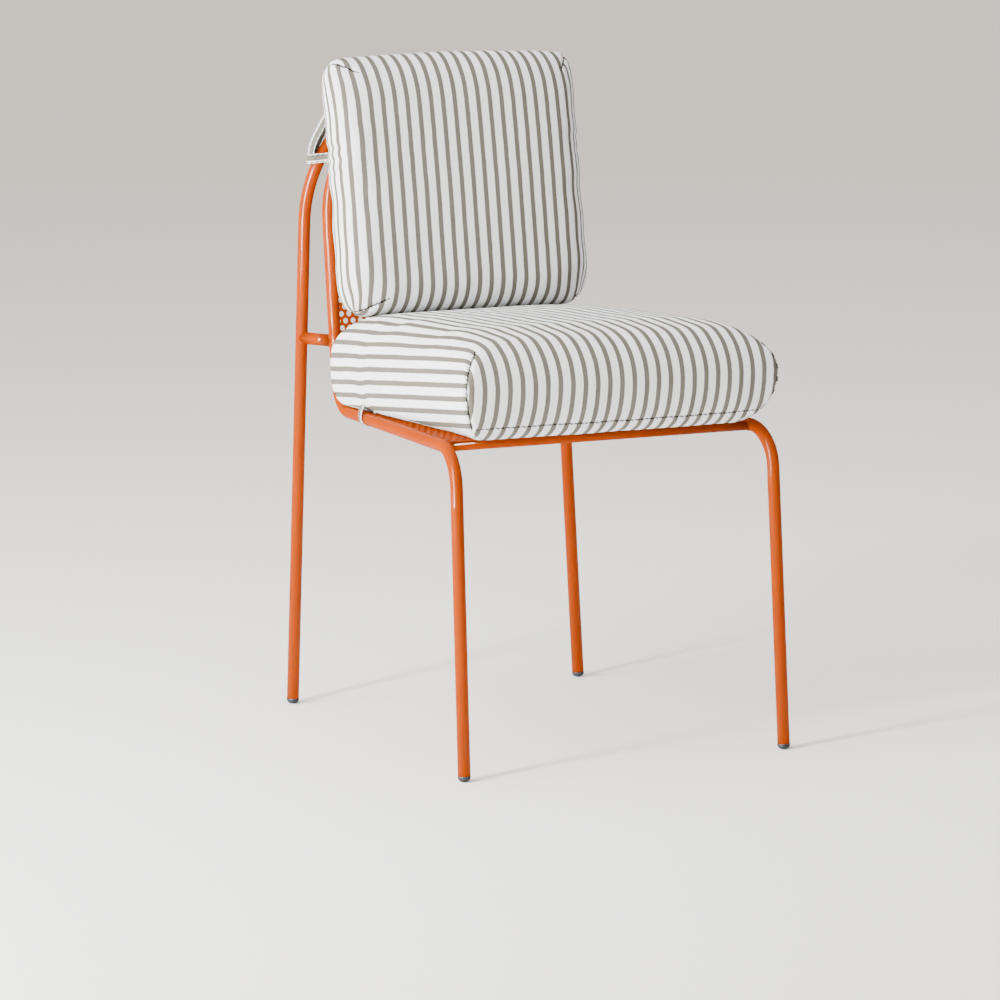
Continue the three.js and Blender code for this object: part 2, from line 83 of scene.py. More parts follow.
def set_inputs(tree, node, **inputs):
    for name, value in inputs.items():
        socket = node.inputs[name.replace("_", " ")]
        if isinstance(value, bpy.types.NodeSocket):
            tree.links.new(value, socket)
        else:
            socket.default_value = value


def added(tree, kind, **inputs):
    node = tree.nodes.new("ShaderNode" + kind)
    set_inputs(tree, node, **inputs)
    return node


def two_tones(tree, share, low, high, stops=(0.0, 1.0)):
    ramp = added(tree, "ValToRGB", Fac=share)
    for index, colour in enumerate((low, high)):
        ramp.color_ramp.elements[index].position = stops[index]
        ramp.color_ramp.elements[index].color = (*colour, 1)
    return ramp.outputs["Color"]


def finished_object(name, bm, material, smooth=True):
    mesh = bpy.data.meshes.new(name)
    bm.to_mesh(mesh)
    bm.free()
    mesh.materials.append(material)
    if smooth:
        mesh.shade_smooth()
    return linked_object(name, mesh)


plaster, tree, shader = node_material("pale_plaster")
reach = tree.nodes.new("ShaderNodeVectorMath")
reach.operation = "LENGTH"
tree.links.new(added(tree, "TexCoord").outputs["Object"], reach.inputs[0])
painted_falloff = added(tree, "MapRange", Value=reach.outputs["Value"], From_Min=0.6, From_Max=7.0)
set_inputs(tree, shader, Roughness=0.75, Base_Color=two_tones(
    tree, painted_falloff.outputs["Result"], floor_lit_tint_near, floor_shaded_tint_far))
bm = bmesh.new()
bmesh.ops.create_circle(bm, cap_ends=True, radius=floor_radius, segments=96)
floor = finished_object("floor", bm, plaster, smooth=False)


# Lights. A tall window at the left lights the cloth, and a narrow strip beside it only draws
# the white lines on the tubes. A wide panel and a broad sun fill in from the same side, and
# one panel hangs overhead.
window_white = (1.0, 0.985, 0.96)


def aimed_lamp(name, kind, direction, power, colour):
    lamp_data = bpy.data.lights.new(name, kind)
    lamp_data.energy = power
    lamp_data.color = colour
    lamp = linked_object(name, lamp_data)
    lamp.rotation_euler = direction.to_track_quat("-Z", "Y").to_euler()
    return lamp


def soft_panel(name, place, towards, width, height, power, colour):
    lamp = aimed_lamp(name, "AREA", Vector(towards) - Vector(place), power, colour)
    lamp.location = place
    lamp.data.shape = "RECTANGLE"
    lamp.data.size = width
    lamp.data.size_y = height
    return lamp


soft_panel("window_left", (-2.35, -0.95, 1.15), (0, 0, 0.9), 0.22, 2.2, 120, window_white)
strip_left = soft_panel(
    "strip_left", (-2.35, -0.80, 1.15), (0, 0, 0.9), 0.16, 2.2, 2200, window_white)
strip_left.visible_diffuse = False
wide_left = soft_panel(
    "wide_left", (-2.6, 0.45, 1.0), (0, 0, 0.5), 1.6, 1.8, 135, (1.0, 0.99, 0.975))
wide_left.visible_glossy = False
soft_panel("panel_above", (-0.3, 0.4, 3.2), (0, 0, 0.4), 3.2, 2.8, 60, (1.0, 0.995, 0.985))
sun = aimed_lamp("broad_sun", "SUN", Vector((0.70, 0.22, -0.68)), 2.7, (1.0, 0.985, 0.965))
sun.data.angle = math.radians(50)
world = bpy.data.worlds.new("soft_room")
world.use_nodes = True
set_inputs(world.node_tree, world.node_tree.nodes["Background"],
           Color=(1.0, 0.955, 0.91, 1), Strength=0.66)
bpy.context.scene.world = world


# Front tube loop: one 15 mm steel tube bent into front leg, seat rail, upright and half-round
# back hoop, and down the other side. The orange powder coat has a faint orange-peel skin.
tube_radius = 0.0075
tube_wall = 0.0015
tube_facets = 36
tube_start_height = 0.0068
bore_depth = 0.03
knee_radius = 0.049
hip_radius = 0.047
front_foot = Vector((-0.2113, -0.267505, 0))
front_corner = Vector((-0.207787, -0.238042, 0.3829))
rear_corner = Vector((-0.155594, 0.199658, 0.372967))
upright_top = Vector((-0.150995, 0.238226, 0.600997))
hoop_centre = Vector((0, 0.237725, 0.598037))
hoop_crown = Vector((0, 0.262912, 0.746947))
across = Vector((1, 0, 0))
upwards = Vector((0, 0, 1))
weld_tolerance = 0.000001


def speckles(tree, scale, detail=2):
    where = added(tree, "TexCoord").outputs["Object"]
    return added(tree, "TexNoise", Vector=where, Scale=scale, Detail=detail).outputs["Fac"]


def bumps(tree, height, strength, distance):
    bump = added(tree, "Bump", Height=height, Strength=strength, Distance=distance)
    return bump.outputs["Normal"]


powder_coat, tree, shader = node_material("orange_powder_coat")
patches = speckles(tree, 9, 3)
gloss = added(tree, "MapRange", Value=patches, To_Min=0.32, To_Max=0.42)
set_inputs(
    tree, shader, Roughness=gloss.outputs["Result"],
    Base_Color=two_tones(tree, patches, (0.240, 0.031, 0.0), (0.270, 0.036, 0.0), (0.3, 0.7)),
    Normal=bumps(tree, speckles(tree, 900), 0.03, 0.0002), Specular_IOR_Level=0.0,
    Coat_Weight=0.16, Coat_Roughness=0.03, Coat_IOR=1.38)


def fitted(piece, slot, *nodes, body="chair"):
    if nodes:
        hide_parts(*nodes)
    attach(piece, body)
    return piece


def coated(name, bm, *nodes, smooth=True):
    return fitted(finished_object(name, bm, powder_coat, smooth), "powder_coat", *nodes)


def whole(bm):
    return bm.verts[:] + bm.edges[:] + bm.faces[:]


def face_outwards(bm):
    bmesh.ops.recalc_face_normals(bm, faces=bm.faces[:])


def only(kind, items):
    return [item for item in items if isinstance(item, kind)]


def edges_of(verts):
    return list(dict.fromkeys(edge for vert in verts for edge in vert.link_edges))


def placed_along(centre, along):
    turn = along.to_track_quat("Z", "Y").to_matrix().to_4x4()
    return Matrix.Translation(centre) @ turn


def ring_at(bm, centre, along, radius, facets):
    return edges_of(bmesh.ops.create_circle(
        bm, radius=radius, segments=facets, matrix=placed_along(centre, along))["verts"])


def grown_ring(bm, ring):
    grown = bmesh.ops.extrude_edge_only(bm, edges=ring)["geom"]
    verts = only(bmesh.types.BMVert, grown)
    inside = set(verts)
    return verts, [edge for edge in only(bmesh.types.BMEdge, grown)
                   if edge.verts[0] in inside and edge.verts[1] in inside]


def run_straight(bm, ring, offset):
    verts, edges = grown_ring(bm, ring)
    bmesh.ops.translate(bm, vec=offset, verts=verts)
    return edges


def run_bend(bm, ring, centre, axis, angle, steps):
    spun = bmesh.ops.spin(
        bm, geom=ring, cent=centre, axis=axis, angle=angle, steps=steps, use_duplicate=False)
    return only(bmesh.types.BMEdge, spun["geom_last"])


def run_corner(bm, ring, here, corner, onward, radius):
    into = (corner - here).normalized()
    away = (onward - corner).normalized()
    turn = into.angle(away)
    start = corner - into * radius * math.tan(turn / 2)
    centre = start + (away - into * away.dot(into)).normalized() * radius
    ring = run_straight(bm, ring, start - here)
    ring = run_bend(bm, ring, centre, into.cross(away), turn, 18)
    return ring, corner + away * radius * math.tan(turn / 2)


def tube_foot(bm, foot, above):
    along = (above - foot).normalized()
    here = foot.lerp(above, tube_start_height / above.z)
    rim = ring_at(bm, here, along, tube_radius, tube_facets)
    verts, bore = grown_ring(bm, rim)
    narrowed = Matrix.Scale((tube_radius - tube_wall) / tube_radius, 4)
    bmesh.ops.transform(bm, matrix=narrowed, space=Matrix.Translation(-here), verts=verts)
    bmesh.ops.edgeloop_fill(bm, edges=run_straight(bm, bore, along * bore_depth))
    return rim, here


def arched_whole(bm, ring, spring, centre, crown, steps):
    up = crown - centre
    run_bend(bm, ring, centre, up.cross(across).normalized(), (spring - centre).angle(up), steps)
    bmesh.ops.mirror(bm, geom=whole(bm), axis="X", merge_dist=0.00001)
    face_outwards(bm)


bm = bmesh.new()
ring, here = tube_foot(bm, front_foot, front_corner)
ring, here = run_corner(bm, ring, here, front_corner, rear_corner, knee_radius)
ring, here = run_corner(bm, ring, here, rear_corner, upright_top, hip_radius)
ring = run_straight(bm, ring, upright_top - here)
arched_whole(bm, ring, upright_top, hoop_centre, hoop_crown, 40)
front_loop = coated(
    "front_tube_loop", bm, "side_frame_left", "side_frame_right", "back_hoop")


# Rear tube loop: a second tube of the same stock makes both rear legs and the larger arch,
# whose crown lies on the back hoop's crown.
rear_foot = Vector((-0.1991, 0.246258, 0))
rear_leg_top = Vector((-0.172198, 0.26282, 0.597025))
rear_arch_centre = Vector((0, 0.262605, 0.589272))
rear_arch_crown = Vector((0, 0.267385, 0.761578))

bm = bmesh.new()
ring, here = tube_foot(bm, rear_foot, rear_leg_top)
ring = run_straight(bm, ring, rear_leg_top - here)
arched_whole(bm, ring, rear_leg_top, rear_arch_centre, rear_arch_crown, 44)
rear_loop = coated("rear_tube_loop", bm, "rear_leg_left", "rear_leg_right", "rear_arch")


# Struts and cross tubes. Short straight tubes with fish-mouthed ends tie each upright to its
# rear leg, and two thinner ones cross under the seat from rail to rail.
strut_rear = Vector((-0.178599, 0.258879, 0.454967))
strut_front = Vector((-0.15394, 0.213527, 0.454967))
front_tie = Vector((-0.203017, -0.198042, 0.380992))
rear_tie = Vector((-0.161795, 0.147658, 0.373147))
leg_along = (front_corner - front_foot).normalized()
rear_leg_along = (rear_leg_top - rear_foot).normalized()
rail_along = (rear_corner - front_corner).normalized()
upright_along = (upright_top - rear_corner).normalized()
tie_radius = 0.0055
tie_wall = 0.0012
mouth_overlap = 0.0003
mirrored = Matrix.Diagonal((-1, 1, 1))


def way_to_tube(point, direction, main_point, main_along, main_radius):
    a = direction - main_along * direction.dot(main_along)
    b = (point - main_point) - main_along * (point - main_point).dot(main_along)
    square = a.dot(a)
    half = a.dot(b)
    under_root = half * half - square * (b.dot(b) - main_radius ** 2)
    return (-half - math.sqrt(max(under_root, 0))) / square


def mirrored_copy(piece, name, node):
    bm = bmesh.new()
    bm.from_mesh(piece.data)
    bmesh.ops.scale(bm, vec=(-1, 1, 1), verts=bm.verts[:])
    bmesh.ops.reverse_faces(bm, faces=bm.faces[:])
    return coated(name, bm, node)


def branch_tube(name, node, here, there, mains, radius, wall):
    along = (there - here).normalized()
    middle = (here + there) / 2
    bm = bmesh.new()
    for size in (radius, radius - wall):
        ring = ring_at(bm, middle, along, size, tube_facets)
        for main_point, main_along, reach in mains:
            direction = along * reach
            for vert in grown_ring(bm, ring)[0]:
                vert.co += direction * way_to_tube(
                    vert.co, direction, main_point, main_along, tube_radius - mouth_overlap)
    bmesh.ops.remove_doubles(bm, verts=bm.verts[:], dist=weld_tolerance)
    rims = [edge for edge in bm.edges if edge.is_boundary]
    for end in (1, -1):
        bmesh.ops.bridge_loops(
            bm, edges=[e for e in rims if (e.verts[0].co - middle).dot(along) * end > 0])
    face_outwards(bm)
    return coated(name, bm, node)


strut = branch_tube("strut_tube_left", "strut_left", strut_rear, strut_front, [
    (upright_top, upright_along, 1), (rear_leg_top, rear_leg_along, -1)], tube_radius, tube_wall)
mirrored_copy(strut, "strut_tube_right", "strut_right")
rails = [(mirrored @ front_corner, mirrored @ rail_along, 1), (front_corner, rail_along, -1)]
for end, tie in (("front", front_tie), ("rear", rear_tie)):
    branch_tube(
        f"{end}_cross_tube", f"{end}_tie_tube", tie, mirrored @ tie, rails, tie_radius, tie_wall)


# Weld beads. A rippled fillet runs round the end of each strut and cross tube, and two
# curved ones fill the grooves between the crowns. The powder coat runs over them.
bead_radius = 0.0011
bead_lift = 0.0001
crown_bead_radius = 0.0026
crown_bead_turn = 0.186
crown_bead_bend = 0.162
crown_groove = 0.0052
far_inward = 0.1


def ring_weld(name, node, end, inward, radius, main_point, main_along):
    sideways = inward.orthogonal().normalized()
    crossways = inward.cross(sideways)
    ring_radius = radius + bead_lift
    bm = bmesh.new()
    bead = ring_at(bm, Vector((ring_radius, 0, 0)), Vector((0, 1, 0)), bead_radius, 10)
    bmesh.ops.spin(
        bm, geom=bead, cent=(0, 0, 0), axis=(0, 0, 1), angle=2 * math.pi, steps=72,
        use_merge=True, use_duplicate=False)
    bmesh.ops.remove_doubles(bm, verts=bm.verts[:], dist=weld_tolerance)
    for vert in bm.verts:
        angle = math.atan2(vert.co.y, vert.co.x)
        spoke = Vector((math.cos(angle), math.sin(angle), 0))
        swell = 1 + 0.10 * math.sin(17 * angle) + 0.08 * math.sin(5 * angle + 1.1)
        offset = (vert.co - spoke * ring_radius) * swell
        foot = end + (sideways * spoke.x + crossways * spoke.y) * ring_radius
        contact = foot + inward * far_inward
        drop = way_to_tube(contact, -inward, main_point, main_along, tube_radius + bead_lift)
        vert.co = (
            contact - inward * drop
            + sideways * offset.x + crossways * offset.y + inward * offset.z)
    face_outwards(bm)
    return coated(name, bm, node)


strut_inward = (strut_front - strut_rear).normalized()
tube_ends = (
    ("strut_rear", "strut_rear",
     strut_rear, strut_inward, tube_radius, rear_leg_top, rear_leg_along),
    ("strut_front", "strut_front",
     strut_front, -strut_inward, tube_radius, upright_top, upright_along),
    ("front_cross", "front_tie", front_tie, across, tie_radius, front_corner, rail_along),
    ("rear_cross", "rear_tie", rear_tie, across, tie_radius, front_corner, rail_along))
beads = [ring_weld(f"weld_bead_{spot}_left", f"weld_{node}_left", *measures)
         for spot, node, *measures in tube_ends]
for bead, (spot, node, *measures) in zip(beads, tube_ends):
    mirrored_copy(bead, f"weld_bead_{spot}_right", f"weld_{node}_right")

crown_middle = (hoop_crown + rear_arch_crown) / 2
crown_between = (rear_arch_crown - hoop_crown).normalized()
crown_axis = crown_between.cross(across).normalized()
for side, sign in (("front", -1), ("rear", 1)):
    groove = crown_middle + crown_axis * sign * math.copysign(crown_groove, crown_axis.y)
    bend_centre = groove - crown_between * crown_bead_bend
    bm = bmesh.new()
    ring = ring_at(bm, groove, across, crown_bead_radius, 12)
    run_bend(bm, ring, bend_centre, crown_axis, crown_bead_turn, 40)
    for vert in bm.verts:
        turn = (vert.co - bend_centre).angle(groove - bend_centre)
        share = turn / crown_bead_turn
        core = bend_centre + Matrix.Rotation(turn, 3, crown_axis) @ (groove - bend_centre)
        ripple = 1 + 0.10 * math.sin(share * 62)
        taper = math.sqrt(max(1 - abs(2 * share - 1) ** 6, 0.02))
        vert.co = core + (vert.co - core) * ripple * taper
    bmesh.ops.rotate(
        bm, cent=bend_centre, verts=bm.verts[:],
        matrix=Matrix.Rotation(-crown_bead_turn / 2, 3, crown_axis))
    bmesh.ops.holes_fill(bm, edges=[edge for edge in bm.edges if edge.is_boundary])
    face_outwards(bm)
    coated(f"weld_bead_crown_{side}", bm, f"weld_crown_{side}")


# Perforated sheets. 1.5 mm steel with 7 mm round holes, 10 mm apart in staggered rows, is cut
# across the holes and welded into the seat and into the hoop, then coated with the frame.
hole_pitch = 0.010
hole_radius = 0.0035
sheet_thickness = 0.0015


def shifted_copy(bm, geom, offset):
    copied = bmesh.ops.duplicate(bm, geom=geom)["geom"]
    bmesh.ops.translate(bm, vec=offset, verts=only(bmesh.types.BMVert, copied))


def perforated_sheet(name, node, width, depth, row_start, cuts, place):
    bm = bmesh.new()
    bmesh.ops.create_circle(bm, radius=hole_radius, segments=12)
    bmesh.ops.create_circle(bm, radius=hole_pitch / 2, segments=12)
    bm.verts.ensure_lookup_table()
    for corner in bm.verts[12:]:
        spoke = round(math.degrees(math.atan2(corner.co.y, corner.co.x)) / 30)
        if spoke % 2:
            corner.co *= 2 / math.sqrt(3)
    bmesh.ops.bridge_loops(bm, edges=bm.edges[:])
    cell = whole(bm)
    columns = 2 * math.ceil(width / hole_pitch / 2) + 1
    for column in range(1, columns):
        shifted_copy(bm, cell, (column * hole_pitch, 0, 0))
    bmesh.ops.translate(bm, vec=((1 - columns) / 2 * hole_pitch, row_start, 0), verts=bm.verts[:])
    row = whole(bm)
    row_step = hole_pitch * math.sqrt(3) / 2
    for line in range(1, math.ceil(depth / row_step) + 1):
        shifted_copy(bm, row, (line % 2 * hole_pitch / 2, line * row_step, 0))
    bmesh.ops.remove_doubles(bm, verts=bm.verts[:], dist=0.00001)
    for point, outward in cuts:
        bmesh.ops.bisect_plane(
            bm, geom=whole(bm), dist=weld_tolerance, plane_co=point, plane_no=outward,
            clear_outer=True)
    face_outwards(bm)
    bm.faces.ensure_lookup_table()
    if bm.faces[0].normal.z < 0:
        bmesh.ops.reverse_faces(bm, faces=bm.faces[:])
    bmesh.ops.solidify(bm, geom=bm.faces[:], thickness=sheet_thickness)
    bmesh.ops.transform(bm, matrix=place, verts=bm.verts[:])
    face_outwards(bm)
    coated(name, bm, node, smooth=False)


def outward_cut(first, second):
    run = (second - first).normalized()
    return (first, Vector((run.y, -run.x, 0)))


rail_fall = math.radians(1.3)
seat_plane = Matrix.Translation((0, -0.198042, 0.381992)) @ Matrix.Rotation(-rail_fall, 4, "X")
seat_rows = 0.34579
seat_overhang = 0.005
seat_lift = 0.0048
rail_cover = 0.0052
seat_left_front = Vector((-0.203613 + rail_cover, -seat_overhang, 0))
seat_left_rear = Vector((-0.161199 + rail_cover, seat_overhang + seat_rows, 0))
seat_cuts = [
    (seat_left_front, Vector((0, -1, 0))),
    (seat_left_rear, Vector((0, 1, 0))),
    outward_cut(seat_left_rear, seat_left_front),
    outward_cut(mirrored @ seat_left_front, mirrored @ seat_left_rear),
]
perforated_sheet(
    "perforated_seat", "seat_sheet", width=0.41, depth=0.37, row_start=-0.0075, cuts=seat_cuts,
    place=seat_plane @ Matrix.Translation((0, 0, seat_lift + sheet_thickness)))

back_lean = math.radians(9.6)
back_low_edge = Vector((0, 0.208458, 0.424997))
back_plane = (Matrix.Translation(back_low_edge)
              @ Matrix.Rotation(math.pi / 2 - back_lean, 4, "X"))
hoop_radius = 0.151025
hoop_cover = 0.0057
back_lift = 0.005
hoop_cuts = 36
arch_rise = (hoop_centre - back_low_edge).length
back_left_low = Vector((-0.154545 + hoop_cover, 0, 0))
back_left_high = Vector((-0.150995 + hoop_cover, arch_rise + 0.003, 0))
back_cuts = [
    (Vector((0, 0, 0)), Vector((0, -1, 0))),
    outward_cut(back_left_high, back_left_low),
    outward_cut(mirrored @ back_left_low, mirrored @ back_left_high),
]
for step in range(1, hoop_cuts):
    angle = math.pi * step / hoop_cuts
    spoke = Vector((math.cos(angle), math.sin(angle), 0))
    back_cuts.append((Vector((0, arch_rise, 0)) + spoke * (hoop_radius - hoop_cover), spoke))
perforated_sheet(
    "perforated_back", "back_sheet", width=0.31, depth=0.34, row_start=0.0022, cuts=back_cuts,
    place=back_plane @ Matrix.Translation((0, 0, back_lift + sheet_thickness / 2)))


# Foot caps. Domed plugs of dark moulded plastic close the tubes, with a stem up the bore, a
# small rim and a flat where they stand.
dome_radius = 0.0079
dome_height = 0.0066
dome_steps = 12
dome_sink = 0.0005
stem_radius = 0.0052
stem_top = 0.0210
point_radius = 0.0001

cap_plastic, tree, shader = node_material("charcoal_cap_plastic")
set_inputs(
    tree, shader, Roughness=0.5, Specular_IOR_Level=0.12,
    Base_Color=two_tones(tree, speckles(tree, 160), (0.016, 0.018, 0.021),
                         (0.034, 0.036, 0.040), (0.35, 0.75)),
    Normal=bumps(tree, speckles(tree, 1400, 3), 0.3, 0.0001))

cap_profile = [(point_radius, 0)]
for step in range(1, dome_steps + 1):
    angle = math.pi / 2 * step / dome_steps
    cap_profile.append((dome_radius * math.sin(angle), dome_height * (1 - math.cos(angle))))
cap_profile += [
    (0.0078, 0.0069), (tube_radius, 0.0072), (stem_radius, 0.0072), (stem_radius, 0.0205),
    (0.0048, stem_top), (point_radius, stem_top)]


def foot_cap(place, foot, along):
    bm = bmesh.new()
    ring = ring_at(bm, Vector((0, 0, 0)), upwards, point_radius, tube_facets)
    bmesh.ops.edgeloop_fill(bm, edges=ring)
    for (width, height), (next_width, next_height) in zip(cap_profile, cap_profile[1:]):
        verts, ring = grown_ring(bm, ring)
        bmesh.ops.scale(bm, vec=(next_width / width, next_width / width, 1), verts=verts)
        bmesh.ops.translate(bm, vec=(0, 0, next_height - height), verts=verts)
    bmesh.ops.edgeloop_fill(bm, edges=ring)
    bmesh.ops.transform(
        bm, matrix=placed_along(foot - along * dome_sink, along), verts=bm.verts[:])
    cut = bmesh.ops.bisect_plane(
        bm, geom=whole(bm), plane_co=(0, 0, 0), plane_no=(0, 0, 1), clear_inner=True)["geom_cut"]
    bmesh.ops.edgeloop_fill(bm, edges=only(bmesh.types.BMEdge, cut))
    face_outwards(bm)
    fitted(finished_object("foot_plug_" + place, bm, cap_plastic), "cap_plastic",
           "foot_cap_" + place)


for end, foot, along in (("front", front_foot, leg_along), ("rear", rear_foot, rear_leg_along)):
    foot_cap(end + "_left", foot, along)
    foot_cap(end + "_right", mirrored @ foot, mirrored @ along)


# Seat cushion. A thick foam slab in a boxed cover of striped canvas: one panel is drawn over
# the top, the sides and the bullnose front, darted at the corners and sewn to a flat base.
stripe_pitch = 0.01592
grey_share = 0.395
edge_softness = 0.022
thread_width = 0.00058
stitch_length = 0.0066
swell_frames = 20
swell_cap = 0.0024
cover_slack = -0.0004
seam_depth = 0.0007
seam_groove = 0.0022
seam_band = 0.006
deepest_hidden = 0.004
seam_pucker = 0.00025
dart_depth = 0.0018
dart_groove = 0.0028
dart_band = 0.012
dart_pucker = 0.00040
dart_cut = 0.0017
dart_run_out = 0.008
gather_share = 0.49
cut_tolerance = 0.00002
seat_strap_y = 0.1232
cover_clearance = 0.0004
pressing_reach = 0.03


def striped_canvas(name, pitch, grey_centre):
    material, tree, shader = node_material(name)
    uv_map = tree.nodes.new("ShaderNodeUVMap")
    uv_map.uv_map = "cloth"
    cloth = uv_map.outputs["UV"]
    parts = added(tree, "SeparateXYZ", Vector=cloth).outputs

    def maths(operation, *values):
        node = tree.nodes.new("ShaderNodeMath")
        node.operation = operation
        for socket, value in zip(node.inputs, values):
            if isinstance(value, (int, float)):
                socket.default_value = value
            else:
                tree.links.new(value, socket)
        return node.outputs["Value"]

    def flat_noise(where, scale, detail):
        node = tree.nodes.new("ShaderNodeTexNoise")
        node.noise_dimensions = "2D"
        set_inputs(tree, node, Vector=where, Scale=scale, Detail=detail)
        return node.outputs["Fac"]

    def smooth_step(**inputs):
        node = tree.nodes.new("ShaderNodeMapRange")
        node.interpolation_type = "SMOOTHSTEP"
        set_inputs(tree, node, **inputs)
        return node.outputs["Result"]

    def mixed(factor, first, second, blend="MIX"):
        node = tree.nodes.new("ShaderNodeMix")
        node.data_type = "RGBA"
        node.blend_type = blend
        set_inputs(tree, node, Factor=factor, A=first, B=second)
        return node.outputs["Result"]

    drift = maths("MULTIPLY_ADD", flat_noise(cloth, 60, 1), 0.0006, -0.0003)
    shifted = maths("SUBTRACT", maths("ADD", parts["X"], drift), grey_centre - pitch / 2)
    turn = maths("FRACT", maths("DIVIDE", shifted, pitch))
    stripe = smooth_step(
        Value=maths("ABSOLUTE", maths("SUBTRACT", turn, 0.5)),
        From_Min=grey_share / 2 + edge_softness, From_Max=grey_share / 2 - edge_softness)

    warp, weft = (maths("SINE", maths("MULTIPLY", parts[axis], math.pi / thread_width))
                  for axis in ("X", "Y"))
    slub_map = added(tree, "Mapping", Vector=cloth, Scale=(900, 240, 1))
    slubs = flat_noise(slub_map.outputs["Vector"], 1, 3)
    light = mixed(slubs, (0.77, 0.80, 0.805, 1), (0.87, 0.90, 0.905, 1))
    grey = mixed(slubs, (0.098, 0.090, 0.073, 1), (0.160, 0.148, 0.124, 1))

    # The dark stitch line is the stitching plus painted shade in the seam and dart gaps. It
    # darkens the colour to near black in stitch-length dashes.
    seam = tree.nodes.new("ShaderNodeAttribute")
    seam.attribute_name = "seam"
    stitch = maths("SINE", maths(
        "MULTIPLY", maths("ADD", parts["X"], parts["Y"]), 2 * math.pi / stitch_length))
    seam_gap_shade = smooth_step(
        Value=seam.outputs["Fac"], From_Min=0.0004, To_Min=0.07, To_Max=1.0,
        From_Max=maths("MULTIPLY_ADD", stitch, 0.0009, 0.0021))

    height = maths("ADD", maths("MULTIPLY", warp, weft), maths("MULTIPLY", slubs, 1.5))
    set_inputs(
        tree, shader, Base_Color=mixed(1, mixed(stripe, light, grey), seam_gap_shade, "MULTIPLY"),
        Normal=bumps(tree, height, 0.35, 0.00015), Roughness=0.88, Sheen_Weight=0.02,
        Specular_IOR_Level=0.0)
    return material


def swollen(piece, cap):
    start = [vert.co.copy() for vert in piece.data.vertices]
    cloth = piece.modifiers.new("swell", "CLOTH")
    cloth.settings.quality = 5
    cloth.settings.mass = 0.25
    cloth.settings.tension_stiffness = 18
    cloth.settings.compression_stiffness = 18
    cloth.settings.shear_stiffness = 8
    cloth.settings.bending_stiffness = 0.6
    cloth.settings.use_pressure = True
    cloth.settings.uniform_pressure_force = 4
    cloth.settings.effector_weights.gravity = 0
    cloth.point_cache.frame_start = 1
    cloth.point_cache.frame_end = swell_frames
    scene = bpy.context.scene
    for number in range(1, swell_frames + 1):
        scene.frame_set(number)
    shaped = piece.evaluated_get(bpy.context.evaluated_depsgraph_get()).data
    moved = [vert.co.copy() for vert in shaped.vertices]
    piece.modifiers.clear()
    scene.frame_set(1)
    for vert, before, after in zip(piece.data.vertices, start, moved):
        step = after - before
        if step.length > cap:
            step *= cap / step.length
        vert.co = before + step


def relaxed(piece):
    bm = bmesh.new()
    bm.from_mesh(piece.data)
    bmesh.ops.smooth_vert(
        bm, verts=bm.verts[:], factor=0.5, use_axis_x=True, use_axis_y=True, use_axis_z=True)
    bm.to_mesh(piece.data)
    bm.free()


def finer(piece):
    even = piece.modifiers.new("finer", "SUBSURF")
    even.levels = 1
    even.render_levels = 1
    smoothed = bpy.data.meshes.new_from_object(
        piece.evaluated_get(bpy.context.evaluated_depsgraph_get()))
    piece.modifiers.clear()
    piece.data = smoothed


def pressed_back(verts, obstacle, gap):
    for vert in verts:
        near, normal = obstacle.find_nearest(vert.co, pressing_reach)[:2]
        if near is not None and (vert.co - near).dot(normal) < gap:
            vert.co = near + normal * gap


def obstacle_from(piece):
    bm = bmesh.new()
    bm.from_mesh(piece.data)
    tree = BVHTree.FromBMesh(bm)
    bm.free()
    return tree


front_obstacle = obstacle_from(front_loop)
rear_obstacle = obstacle_from(rear_loop)


def clamped(value):
    return min(max(value, 0), 1)


def drawn_in(depth, rise, reach):
    share = clamped((rise - depth) / rise)
    return reach * (1 - math.sqrt(1 - share * share))


def rounded_most(first, second, radius):
    if first > -radius and second > -radius:
        return math.hypot(first + radius, second + radius) - radius
    return max(first, second)


def between(stations, at):
    for (here, low), (there, high) in zip(stations, stations[1:]):
        if at <= there:
            share = clamped((at - here) / (there - here))
            return low + (high - low) * share
    return stations[-1][1]


def bump_at(distance, width):
    return math.exp(-(distance / width) ** 2)


